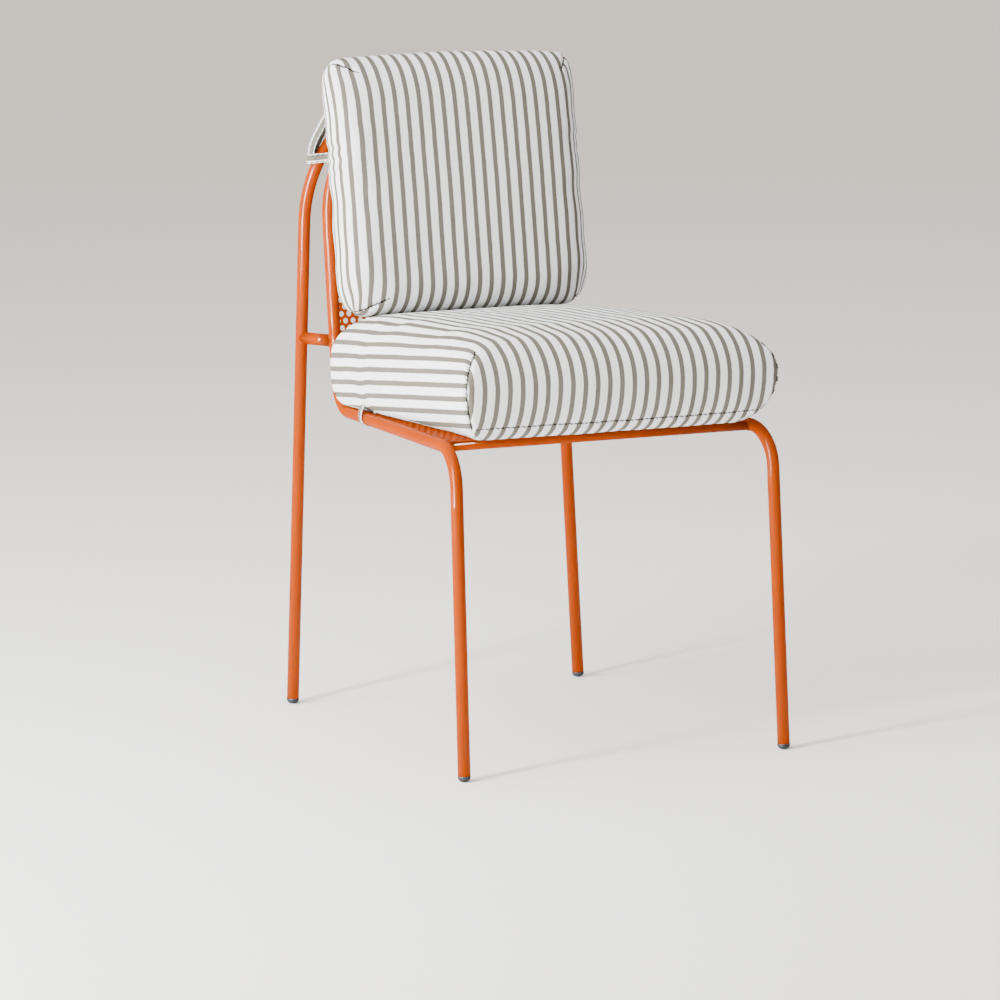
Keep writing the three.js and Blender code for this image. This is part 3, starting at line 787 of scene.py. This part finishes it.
class Cushion:
    end_round = 0.04

    def foam_mesh(self, name, cuts, shrink):
        bm = bmesh.new()
        bmesh.ops.create_cube(bm, size=2)
        for axis, count in enumerate(cuts):
            along = [edge for edge in bm.edges
                     if abs((edge.verts[0].co - edge.verts[1].co)[axis]) > 1]
            bmesh.ops.subdivide_edges(bm, edges=along, cuts=count, use_grid_fill=True)
        for vert in bm.verts:
            box = Vector((
                vert.co.x * self.half(vert.co.y * self.length / 2),
                vert.co.y * self.length / 2, (vert.co.z + 1) / 2 * self.tall))
            core = Vector((
                min(max(box.x, self.inner - self.half(box.y)), self.half(box.y) - self.inner),
                min(max(box.y, self.inner - self.length / 2), self.length / 2 - self.inner),
                min(max(box.z, self.core_low), self.core_high)))
            low, high = 0.0, 1.5
            for halving in range(15):
                middle = (low + high) / 2
                if self.outside(core.lerp(box, middle)) > -shrink:
                    high = middle
                else:
                    low = middle
            vert.co = core.lerp(box, low)
        bmesh.ops.transform(bm, matrix=self.place, verts=bm.verts[:])
        face_outwards(bm)
        return finished_object(name, bm, self.material)

    def around_sides(self, point):
        far = abs(point.x)
        edge = self.half(point.y) - self.side_round
        lost = self.end_drop(point.y)
        level = self.edge_height(point.y) - self.side_round - lost
        wall = self.side_sum(point.y) - lost
        if far > edge and point.z > level:
            turn = math.atan2(far - edge, point.z - level) / (math.pi / 2)
            far = edge + turn * (wall - level - edge)
        elif far > edge:
            far = wall - point.z
        return Vector((self.shift + math.copysign(far - self.pull(point), point.x), point.y))

    def end_drop(self, y):
        return 0.0

    def pull(self, point):
        return 0.0

    def over_ends(self, point):
        far = abs(point.y)
        edge = self.length / 2 - self.end_round
        level = self.edge_height(point.y) - self.end_round
        if far > edge and point.z > level:
            far = edge + self.end_round * math.atan2(far - edge, point.z - level)
        elif far > edge:
            far = edge + self.end_round * math.pi / 2 + level - point.z
        return Vector((self.shift + point.x, math.copysign(far, point.y)))

    def dart_at(self, point):
        side = -1 if point.x < 0 else 1
        end = -1 if point.y < 0 else 1
        corner, inner = self.darts[(side, end)]
        run = (inner - corner).normalized()
        flat = Vector((point.x, point.y)) - corner
        along = flat.dot(run)
        across = (flat.x * run.y - flat.y * run.x) * side * end
        return across, along - (inner - corner).length


class SeatCushion(Cushion):
    shift = 0.0035
    place = (Matrix.Translation((shift, -0.035292, 0.384901))
             @ Matrix.Rotation(-rail_fall, 4, "X"))
    length = 0.4562
    tall = 0.122
    inner = 0.048
    core_low = 0.050
    core_high = 0.054
    side_round = 0.046
    seam_height = 0.0155
    hidden_side_seam = deepest_hidden
    spine = [(-0.230, 0.1085), (-0.195, 0.1125), (-0.166, 0.1165), (-0.119, 0.1205),
             (0.035, 0.1195), (0.135, 0.1150), (0.175, 0.1110), (0.230, 0.1030)]
    under_rise = [(-0.228, 0.064), (0.105, 0.036), (0.135, 0.030), (0.230, 0.026)]
    under_reach = [(-0.228, 0.044), (0.105, 0.020), (0.135, 0.016), (0.230, 0.013)]
    darts = {
        (-1, -1): (Vector((-0.2095, -0.2245)), Vector((-0.1788, -0.1904))),
        (1, -1): (Vector((0.2095, -0.2245)), Vector((0.184, -0.197))),
        (-1, 1): (Vector((-0.1770, 0.2265)), Vector((-0.152, 0.204))),
        (1, 1): (Vector((0.1770, 0.2265)), Vector((0.151, 0.203))),
    }

    def half(self, y):
        return 0.1905 - 0.0765 * (y - 0.035)

    def edge_height(self, y):
        straight = self.side_sum(y) - self.half(y) + 0.429 * self.side_round
        return min(straight, between(self.spine, y) - 0.0005)

    def side_sum(self, y):
        return 0.2802 - 0.0913 * y

    def pull(self, point):
        low = clamped((0.095 - point.z) / 0.09)
        return 0.0024 * low * bump_at(point.y - seat_strap_y, 0.014)

    def outside(self, point):
        x, y, z = point
        share = min(abs(x) / self.half(y), 1)
        crown = between(self.spine, y)
        top = crown - (crown - self.edge_height(y)) * share ** 3.5
        front = (-y - (0.2307 - 0.0062 * (x / 0.180) ** 2)
                 + drawn_in(top - z, 0.046, 0.046) + drawn_in(z, 0.066, 0.046))
        rear = (y - (0.2272 - 0.0050 * (x / 0.170) ** 2)
                + drawn_in(top - z, 0.028, 0.026) + drawn_in(z, 0.030, 0.018))
        dent = 0.0024 * bump_at(y - seat_strap_y + 0.004, 0.010) * (1 - z / 0.10)
        crease = 0.0016 * bump_at(y - seat_strap_y - 0.010 + 0.25 * z, 0.009) * (1 - z / 0.11)
        past_upright = 0.0060 * bump_at(y - 0.195, 0.045) * bump_at(z - 0.055, 0.045)
        side = (abs(x) - self.half(y) + max(dent, 0) + max(crease, 0) - past_upright
                + drawn_in(top - z, self.side_round, self.side_round)
                + drawn_in(z, between(self.under_rise, y), between(self.under_reach, y)))
        high = clamped(1 - (top - z) / 0.040)
        corner = 0.009 + (0.024 if y < 0 else 0.008) * high * high
        walls = rounded_most(max(front, rear), side, corner)
        return max(walls, z - top, -z)


def with_rims(faces):
    verts = dict.fromkeys(vert for face in faces for vert in face.verts)
    edges = dict.fromkeys(edge for face in faces for edge in face.edges)
    return list(verts) + list(edges) + faces


def sewn_cover(piece, form):
    inverse = form.place.inverted()
    bm = bmesh.new()
    bm.from_mesh(piece.data)
    bmesh.ops.transform(bm, matrix=inverse, verts=bm.verts[:])
    for (side, end), (corner, inner) in form.darts.items():
        run = (inner - corner).normalized()
        across_dart = Vector((run.y, -run.x, 0))
        reach = (inner - corner).length
        near = []
        for face in bm.faces:
            centre = face.calc_center_median()
            flat = centre.xy - corner
            if flat.dot(run) < reach and abs(flat.dot(across_dart.xy)) < dart_band and (
                    centre.x * side > 0 and centre.y * end > 0):
                near.append(face)
        for beside in (-dart_cut, 0.0, dart_cut):
            cut = bmesh.ops.bisect_plane(
                bm, geom=with_rims(near), plane_co=corner.to_3d() + across_dart * beside,
                plane_no=across_dart, dist=cut_tolerance)
            near = only(bmesh.types.BMFace, cut["geom"])
    low = [face for face in bm.faces
           if abs(face.calc_center_median().z - form.seam_height) < seam_band]
    bmesh.ops.bisect_plane(
        bm, geom=with_rims(low), plane_co=(0, 0, form.seam_height), plane_no=(0, 0, 1),
        dist=cut_tolerance)
    bm.normal_update()
    # The seam layer holds each point's distance to its seam or dart gap. The canvas paints the
    # stitch line and its shade there.
    seam_layer = bm.verts.layers.float.new("seam")
    moves = []
    for vert in bm.verts:
        point = vert.co
        across, beyond = form.dart_at(point)
        base = abs(point.z - form.seam_height)
        hidden = form.hidden_side_seam * clamped(
            (form.length / 2 - 0.020 - abs(point.y)) / 0.03)
        gap = base + 0.00035 + hidden
        depth = seam_depth * bump_at(base, seam_groove) * (1 - hidden / deepest_hidden)
        pucker = seam_pucker * math.exp(-base / 0.008) * math.sin((point.x + point.y) * 430)
        if point.z > form.seam_height and beyond < 0:
            strength = min(1, -beyond / dart_run_out)
            dart = abs(across)
            gap = min(gap, dart + (1 - strength) * 0.0004)
            depth = max(depth, dart_depth * strength * bump_at(dart, dart_groove))
            pucker += dart_pucker * strength * math.exp(-dart / 0.009) * math.sin(point.z * 520)
        vert[seam_layer] = gap
        drift = noise.noise(point * 14) * 0.0008 + noise.noise(point * 42) * 0.0003
        moves.append(vert.normal * (drift + pucker - depth + form.ripple(point)))
    for vert, move in zip(bm.verts, moves):
        vert.co += move
    cloth = bm.loops.layers.uv.new("cloth")
    for face in bm.faces:
        centre = face.calc_center_median()
        across, beyond = form.dart_at(centre)
        for loop in face.loops:
            point = loop.vert.co
            if centre.z < 0.004:
                loop[cloth].uv = (form.shift + point.x, point.y)
                continue
            sides = form.around_sides(point)
            if beyond < 0 and across < 0:
                inner = form.darts[(-1 if centre.x < 0 else 1, -1 if centre.y < 0 else 1)][1]
                gathered = max(form.end_drop(point.y) - form.end_drop(inner.y), 0) * gather_share
                flatness = clamped((form.half(point.y) - abs(point.x)) / form.side_round)
                sides.x += math.copysign(gathered * flatness, point.x)
            ends = form.over_ends(point)
            if beyond < 0:
                share = 1.0 if across > 0 else 0.0
            else:
                flat, past = form.dart_at(point)
                width = 0.004 + past * 0.6
                share = clamped(flat / width * 0.5 + 0.5)
            loop[cloth].uv = sides.lerp(ends, share)
    for vert in bm.verts:
        vert.co.z = max(vert.co.z, 0.0002)
    bmesh.ops.transform(bm, matrix=form.place, verts=bm.verts[:])
    piece.data.clear_geometry()
    bm.to_mesh(piece.data)
    bm.free()
    piece.data.shade_smooth()


def zip_bed(piece, place, half_length):
    inverse = place.inverted()
    for vert in piece.data.vertices:
        local = inverse @ vert.co
        if abs(local.x) < half_length + 0.003 and abs(local.y) < 0.010 and local.z > -0.01:
            limit = -0.0013 + max(abs(local.y) - 0.0048, 0) * 0.8
            if local.z > limit:
                local.z = limit
                vert.co = place @ local


def cushion_cover(name, node, form, cuts):
    piece = form.foam_mesh(name, cuts, cover_slack)
    relaxed(piece)
    swollen(piece, swell_cap)
    relaxed(piece)
    finer(piece)
    sewn_cover(piece, form)
    fitted(piece, "striped_canvas", node)
    return piece


def seat_ripple(point):
    beside = bump_at(point.y - seat_strap_y, 0.028) * bump_at(abs(point.x) - 0.181, 0.02)
    low = clamped((0.055 - point.z) / 0.05)
    front = bump_at(point.y + 0.225, 0.03) * clamped((0.08 - point.z) / 0.05)
    return (0.0007 * beside * low * math.sin((point.y - seat_strap_y) * 300)
            + 0.0004 * front * math.sin(point.x * 95))


SeatCushion.material = striped_canvas("striped_seat_canvas", stripe_pitch, -0.0041)
SeatCushion.ripple = staticmethod(seat_ripple)
seat_form = SeatCushion()
seat_cover = cushion_cover("seat_cover", "seat_cushion_cover", seat_form, (82, 88, 23))
pressed_back(seat_cover.data.vertices, front_obstacle, cover_clearance)
seat_zip_place = (Matrix.Translation((0, 0.193565, 0.433225))
                  @ Matrix.Rotation(-rail_fall - math.pi / 2, 4, "X"))
seat_zip_half = 0.12493
zip_bed(seat_cover, seat_zip_place, seat_zip_half)


# Back cushion. A thinner block in the same canvas leans on the uprights. Its panel is drawn
# over all four edges, with a short dart at each corner, and sewn to a plain back.
class BackCushion(Cushion):
    shift = 0.0035
    place = (Matrix.Translation((shift, 0.236511, 0.637628))
             @ Matrix.Rotation(math.pi / 2 - back_lean, 4, "X"))
    length = 0.321
    tall = 0.088
    inner = 0.046
    core_low = 0.040
    core_high = 0.044
    side_round = 0.027
    seam_height = 0.009
    hidden_side_seam = 0.0
    spine = [(-0.162, 0.0840), (-0.120, 0.0870), (0.0, 0.0880), (0.060, 0.0870),
             (0.100, 0.0850), (0.135, 0.0820), (0.162, 0.0795)]
    darts = {
        (-1, 1): (Vector((-0.1705, 0.1625)), Vector((-0.1335, 0.1370))),
        (1, 1): (Vector((0.1705, 0.1625)), Vector((0.1415, 0.1300))),
        (-1, -1): (Vector((-0.1705, -0.1615)), Vector((-0.1195, -0.1390))),
        (1, -1): (Vector((0.1705, -0.1615)), Vector((0.1405, -0.1450))),
    }

    def half(self, y):
        waist = 0.0013 * (bump_at(y + 0.013, 0.018) + bump_at(y - 0.047, 0.012))
        return 0.1703 - waist

    def edge_height(self, y):
        return between(self.spine, y) - 0.004

    def side_sum(self, y):
        return self.half(y) + self.edge_height(y) - 0.429 * self.side_round

    def end_drop(self, y):
        rise, reach = (0.040, 0.058) if y > 0 else (0.042, 0.032)
        share = min(clamped((abs(y) - 0.1605 + reach) / reach), 0.97)
        return rise * (1 - math.sqrt(1 - share * share))

    def outside(self, point):
        x, y, z = point
        if x < 0:
            drop, rise, reach = 0.0045 * (abs(x) / 0.170) ** 2, 0.030, 0.024
        else:
            drop, rise, reach = 0.0130 * (abs(x) / 0.170) ** 2.5, 0.034, 0.046
        top = between(self.spine, y) - drop
        high_end = (y - 0.1638 + 0.0044 * (x / 0.165) ** 2
                    + drawn_in(top - z, 0.040, 0.058) + drawn_in(z, 0.024, 0.018))
        low_end = (-y - 0.1605 + 0.0020 * (x / 0.165) ** 2
                   + drawn_in(top - z, 0.042, 0.032) + drawn_in(z, 0.026, 0.016))
        side = (abs(x) - self.half(y)
                + drawn_in(top - z, rise, reach) + drawn_in(z, 0.052, 0.032))
        high = clamped(1 - (top - z) / 0.034)
        if y > 0:
            corner = (0.026 if x < 0 else 0.016) + 0.014 * high * high
        else:
            corner = 0.036 + 0.010 * high * high
        walls = rounded_most(max(high_end, low_end), side, corner)
        return max(walls, z - top, -z)


def back_ripple(point):
    strap = bump_at(point.y - 0.038, 0.022) * bump_at(abs(point.x) - 0.168, 0.020)
    flutes = 0.0009 * strap * math.sin((point.y - 0.038) * 2 * math.pi / 0.0165 + 0.6)
    slack = 0.0005 * bump_at(abs(point.x) - 0.150, 0.03) * math.sin(point.y * 118 + 1.0)
    return flutes + slack


BackCushion.material = striped_canvas("striped_back_canvas", 0.01593, 0.0030)
BackCushion.ripple = staticmethod(back_ripple)
back_form = BackCushion()
back_cover = cushion_cover("back_cover", "back_cushion_cover", back_form, (68, 64, 19))
for obstacle in (front_obstacle, rear_obstacle, obstacle_from(seat_cover)):
    pressed_back(back_cover.data.vertices, obstacle, cover_clearance)
back_zip_place = (Matrix.Translation((0, 0.186150, 0.483775))
                  @ Matrix.Rotation(math.pi - back_lean, 4, "X"))
back_zip_half = 0.12003
zip_bed(back_cover, back_zip_place, back_zip_half)


# Fabric loops. Each cushion is held by two straps cut from the same canvas, about 11 mm wide
# with one stripe along the middle. They are sewn into the covers and pass round the tubes.
strap_thickness = 0.0012
strap_clearance = 0.0003
stripe_in_strap = -0.0050
strap_hem = 0.0042


def ribbon(bm, stations, width, steps):
    over_layer = bm.verts.layers.float.get("over") or bm.verts.layers.float.new("over")
    along_layer = bm.verts.layers.float.get("along") or bm.verts.layers.float.new("along")
    frames = []
    for number in range(steps + 1):
        at = number / steps * (len(stations) - 1)
        index = min(int(at), len(stations) - 2)
        share = at - index
        before = stations[max(index - 1, 0)]
        here = stations[index]
        there = stations[index + 1]
        after = stations[min(index + 2, len(stations) - 1)]
        row = []
        for a, b, c, d in zip(before, here, there, after):
            a, b, c, d = Vector(a), Vector(b), Vector(c), Vector(d)
            row.append(0.5 * (2 * b + (c - a) * share + (2 * a - 5 * b + 4 * c - d) * share ** 2
                              + (3 * b - a - 3 * c + d) * share ** 3))
        frames.append(row)
    places = []
    for number, (point, sideways) in enumerate(frames):
        ahead = frames[min(number + 1, steps)][0] - frames[max(number - 1, 0)][0]
        out = sideways.cross(ahead).normalized()
        side = ahead.cross(out).normalized()
        turn = Matrix((side, out, ahead.normalized())).transposed().to_4x4()
        places.append(Matrix.Translation(point) @ turn)
    made = bmesh.ops.create_circle(bm, radius=1, segments=20)["verts"]
    for vert in made:
        x, y = vert.co.x, vert.co.y
        vert.co = Vector((
            math.copysign(abs(x) ** 0.5, x) * width / 2,
            math.copysign(abs(y) ** 0.5, y) * strap_thickness / 2, 0))
        vert[over_layer] = vert.co.x
    ring = edges_of(made)
    bmesh.ops.transform(bm, matrix=places[0], verts=made)
    bmesh.ops.edgeloop_fill(bm, edges=ring)
    travelled = 0
    for before, after in zip(places, places[1:]):
        verts, ring = grown_ring(bm, ring)
        bmesh.ops.transform(bm, matrix=after @ before.inverted(), verts=verts)
        travelled += (after.translation - before.translation).length
        for vert in verts:
            vert[along_layer] = travelled
    bmesh.ops.edgeloop_fill(bm, edges=ring)


def strap(name, node, runs, mirror, obstacle):
    bm = bmesh.new()
    for stations, width, steps in runs:
        ribbon(bm, stations, width, steps)
    if mirror:
        bmesh.ops.scale(bm, vec=(-1, 1, 1), verts=bm.verts[:])
    face_outwards(bm)
    over_layer = bm.verts.layers.float["over"]
    along_layer = bm.verts.layers.float["along"]
    cloth = bm.loops.layers.uv.new("cloth")
    for face in bm.faces:
        for loop in face.loops:
            loop[cloth].uv = (
                loop.vert[over_layer] + stripe_in_strap, loop.vert[along_layer])
    bm.normal_update()
    for vert in bm.verts:
        vert.co += vert.normal * noise.noise(vert.co * 130) * 0.00025
    # Painted shade and stitching along the two hem seams, through the same seam layer as the
    # covers.
    seam_layer = bm.verts.layers.float.new("seam")
    for vert in bm.verts:
        vert[seam_layer] = 0.0006 + abs(abs(vert[over_layer]) - strap_hem)
    piece = finished_object(name, bm, SeatCushion.material)
    pressed_back(piece.data.vertices, obstacle, strap_clearance)
    fitted(piece, "striped_canvas", node)


loop_centre = Vector((-0.168914, 0.087958, 0.375502))
rail_out = upwards.cross(rail_along).normalized()
rail_up = rail_along.cross(rail_out).normalized()


def round_rail(angle, radius, slide=0.0):
    turn = math.radians(angle)
    spoke = rail_out * math.cos(turn) + rail_up * math.sin(turn)
    return (loop_centre + spoke * radius + rail_along * slide, rail_along)


seat_strap = [round_rail(*turn) for turn in (
    (72, 0.0175), (48, 0.0128), (22, 0.0098), (-5, 0.0090, -0.0004), (-35, 0.0089, -0.0010),
    (-65, 0.0088, -0.0012), (-95, 0.0087, -0.0010), (-125, 0.0087), (-155, 0.0088),
    (-180, 0.0090), (-205, 0.0098), (-230, 0.0125), (-248, 0.0170))]
hooked_strap = [
    ((-0.1440, 0.2475, 0.6775), (0.02, 0.10, 1.0)),
    ((-0.1480, 0.2535, 0.6768), (0.02, 0.06, 1.0)),
    ((-0.1545, 0.2565, 0.6762), (0.03, 0.02, 1.0)),
    ((-0.1605, 0.2590, 0.6755), (0.06, -0.02, 1.0)),
    ((-0.1640, 0.2630, 0.6748), (0.10, -0.04, 0.99)),
    ((-0.1648, 0.2690, 0.6742), (0.10, -0.04, 0.99)),
    ((-0.1610, 0.2745, 0.6740), (0.10, -0.04, 0.99)),
    ((-0.1530, 0.2765, 0.6742), (0.05, -0.02, 1.0)),
]
rising_strap = [
    ((-0.1612, 0.2660, 0.6720), (0.45, -0.83, -0.32)),
    ((-0.1622, 0.2655, 0.6770), (0.42, -0.84, -0.33)),
    ((-0.1622, 0.2640, 0.6850), (0.38, -0.85, -0.35)),
    ((-0.1606, 0.2620, 0.6940), (0.34, -0.87, -0.36)),
    ((-0.1578, 0.2582, 0.7040), (0.31, -0.88, -0.36)),
    ((-0.1540, 0.2535, 0.7140), (0.31, -0.88, -0.36)),
    ((-0.1515, 0.2480, 0.7230), (0.31, -0.88, -0.36)),
    ((-0.1490, 0.2420, 0.7300), (0.31, -0.88, -0.36)),
]
returning_strap = [
    ((-0.1600, 0.2680, 0.6700), (0.85, 0.40, -0.30)),
    ((-0.1570, 0.2700, 0.6780), (0.85, 0.40, -0.30)),
    ((-0.1530, 0.2710, 0.6870), (0.84, 0.42, -0.32)),
    ((-0.1490, 0.2700, 0.6960), (0.84, 0.42, -0.34)),
    ((-0.1460, 0.2665, 0.7050), (0.84, 0.42, -0.34)),
    ((-0.1445, 0.2600, 0.7130), (0.84, 0.42, -0.34)),
    ((-0.1440, 0.2520, 0.7200), (0.84, 0.42, -0.34)),
]
back_runs = [(hooked_strap, 0.0112, 48), (rising_strap, 0.0105, 48), (returning_strap, 0.0105, 48)]
for prefix, runs, obstacle in (
        ("seat", [(seat_strap, 0.0110, 72)], front_obstacle), ("back", back_runs, rear_obstacle)):
    for side, mirror in (("left", False), ("right", True)):
        strap(f"{prefix}_strap_{side}", f"{prefix}_loop_{side}", runs, mirror, obstacle)


# Zips. A moulded zip with woven tape closes the back of the seat cover and the underside of
# the back cover. Its teeth are moulded onto the tape, with a stop at each end.
tape_width = 0.0044
tape_offset = 0.0025
tape_thickness = 0.0006
tooth_pitch = 0.0025

zip_tape, tree, shader = node_material("woven_zip_tape")
ribs = added(tree, "Mapping", Vector=added(tree, "TexCoord").outputs["Object"],
             Scale=(1400, 300, 300))
threads = added(tree, "TexNoise", Vector=ribs.outputs["Vector"], Scale=1, Detail=2).outputs["Fac"]
set_inputs(
    tree, shader, Roughness=0.8, Normal=bumps(tree, threads, 0.5, 0.0002),
    Base_Color=two_tones(tree, threads, (0.48, 0.47, 0.44), (0.68, 0.67, 0.63), (0.35, 0.65)))

tooth_plastic, tree, shader = node_material("moulded_tooth_plastic")
set_inputs(
    tree, shader, Roughness=0.38,
    Base_Color=two_tones(tree, speckles(tree, 260), (0.50, 0.49, 0.46), (0.62, 0.61, 0.58)))


def beveled(bm, verts, offset, segments):
    bmesh.ops.bevel(
        bm, geom=verts + edges_of(verts), offset=offset, segments=segments, profile=0.5,
        affect="EDGES", material=-1)


def beveled_block(bm, size, centre, offset, segments):
    made = bmesh.ops.create_cube(bm, size=1)["verts"]
    bmesh.ops.scale(bm, vec=size, verts=made)
    bmesh.ops.translate(bm, vec=centre, verts=made)
    beveled(bm, made, offset, segments)


def zip_strip(prefix, place, half_length):
    bm = bmesh.new()
    for side in (-1, 1):
        made = bmesh.ops.create_grid(bm, x_segments=60, y_segments=4, size=0.5)["verts"]
        bmesh.ops.scale(bm, vec=(2 * half_length, tape_width, 1), verts=made)
        bmesh.ops.translate(bm, vec=(0, side * tape_offset, -tape_thickness), verts=made)
        for vert in made:
            vert.co.z += 0.00012 * math.sin(vert.co.x * 210 + side)
    face_outwards(bm)
    bmesh.ops.solidify(bm, geom=bm.faces[:], thickness=tape_thickness)
    bmesh.ops.transform(bm, matrix=place, verts=bm.verts[:])
    face_outwards(bm)
    fitted(finished_object(prefix + "_zip_tape", bm, zip_tape, smooth=False), "zip_tape",
           prefix + "_cushion_zip")

    bm = bmesh.new()
    count = int((2 * half_length - 0.008) / tooth_pitch)
    for number in range(count):
        side = 1 if number % 2 else -1
        start = -count * tooth_pitch / 2 + (number + 0.5) * tooth_pitch
        beveled_block(bm, (0.0017, 0.0030, 0.0017), (start, side * 0.0004, 0.0005), 0.0004, 1)
    for end in (-1, 1):
        beveled_block(
            bm, (0.0030, 0.0052, 0.0019), (end * (half_length - 0.0022), 0, 0.0006), 0.0006, 2)
    bmesh.ops.transform(bm, matrix=place, verts=bm.verts[:])
    fitted(finished_object(prefix + "_zip_teeth", bm, tooth_plastic, smooth=False), "zip_tape")


zip_strip("seat", seat_zip_place, seat_zip_half)
zip_strip("back", back_zip_place, back_zip_half)


# Zip sliders. Die-cast zinc bodies run on the teeth, flared where the two rows come in, with
# a bridge over the top and a flat pull that hangs from it.
bridge_radius = 0.00065
bridge_bend = Vector((0.0016, 0, 0.0014))
pull_reach = 0.0134
parking_inset = 0.009

zinc, tree, shader = node_material("tumbled_zinc")
wear = speckles(tree, 420, 4)
dull = added(tree, "MapRange", Value=wear, To_Min=0.26, To_Max=0.48)
set_inputs(
    tree, shader, Metallic=1.0, Roughness=dull.outputs["Result"],
    Base_Color=two_tones(tree, wear, (0.30, 0.305, 0.31), (0.52, 0.525, 0.53), (0.3, 0.7)))


def zip_slider(prefix, place, start):
    bm = bmesh.new()
    made = bmesh.ops.create_cube(bm, size=1)["verts"]
    bmesh.ops.scale(bm, vec=(0.0090, 0.0070, 0.0012), verts=made)
    for vert in made:
        if vert.co.x < 0:
            vert.co.y *= 0.72
    beveled(bm, made, 0.0005, 3)
    bmesh.ops.translate(bm, vec=(0, 0, 0.0006), verts=bm.verts[:])

    ring = ring_at(bm, Vector((-0.0026, 0, 0.0008)), upwards, bridge_radius, 12)
    ring = run_straight(bm, ring, upwards * 0.0006)
    ring = run_bend(bm, ring, mirrored @ bridge_bend, (0, 1, 0), math.pi / 2, 5)
    ring = run_straight(bm, ring, across * 2 * bridge_bend.x)
    ring = run_bend(bm, ring, bridge_bend, (0, 1, 0), math.pi / 2, 5)
    run_straight(bm, ring, upwards * -0.0006)

    outer = bmesh.ops.create_circle(bm, radius=0.0023, segments=28)["verts"]
    hole = bmesh.ops.create_circle(bm, radius=0.0011, segments=28)["verts"]
    for vert in outer:
        if vert.co.x > 0:
            vert.co.x += pull_reach
            vert.co.y *= 0.86
    plate = bmesh.ops.bridge_loops(bm, edges=edges_of(outer + hole))["faces"]
    bmesh.ops.recalc_face_normals(bm, faces=plate)
    solid = bmesh.ops.solidify(bm, geom=plate, thickness=0.0011)["geom"]
    pull = list({vert for face in only(bmesh.types.BMFace, solid + plate) for vert in face.verts})
    tilt = Matrix.Translation((0.0016, 0, 0.0020)) @ Matrix.Rotation(0.02, 4, "Y")
    bmesh.ops.transform(bm, matrix=tilt, verts=pull)
    face_outwards(bm)
    bmesh.ops.transform(bm, matrix=place @ Matrix.Translation(start), verts=bm.verts[:])
    fitted(finished_object(prefix + "_slider", bm, zinc, smooth=False), "zinc",
           prefix + "_cushion_zip_slider", body=prefix + "_zip_slider")


zip_slider("seat", seat_zip_place, (parking_inset - seat_zip_half, 0, 0.0018))
zip_slider("back", back_zip_place, (parking_inset - back_zip_half, 0, 0.0018))


# Foam. Each cover holds one block of pale open-cell foam, cut a little smaller than the cover.
foam_round = 0.016

foam_cells, tree, shader = node_material("open_cell_foam")
cells = added(tree, "TexVoronoi", Scale=900, Vector=added(tree, "TexCoord").outputs["Object"])
walls = cells.outputs["Distance"]
set_inputs(
    tree, shader, Roughness=0.95, Normal=bumps(tree, walls, 0.6, 0.0004),
    Base_Color=two_tones(tree, walls, (0.55, 0.50, 0.36), (0.80, 0.75, 0.58)))


def foam_block(prefix, form, inset, depth):
    bm = bmesh.new()
    bmesh.ops.create_cube(bm, size=1)
    for vert in bm.verts:
        y = vert.co.y * (form.length - 2 * inset)
        half = form.half(y) - inset
        vert.co = Vector((vert.co.x * 2 * half, y, (vert.co.z + 0.5) * depth + inset / 2))
    bmesh.ops.bevel(
        bm, geom=bm.edges[:], offset=foam_round, segments=5, profile=0.5, affect="EDGES",
        material=-1)
    bmesh.ops.transform(bm, matrix=form.place, verts=bm.verts[:])
    face_outwards(bm)
    piece = finished_object(prefix + "_foam_block", bm, foam_cells)
    fitted(piece, "foam", prefix + "_cushion_foam")


foam_block("seat", seat_form, inset=0.024, depth=0.072)
foam_block("back", back_form, inset=0.026, depth=0.044)
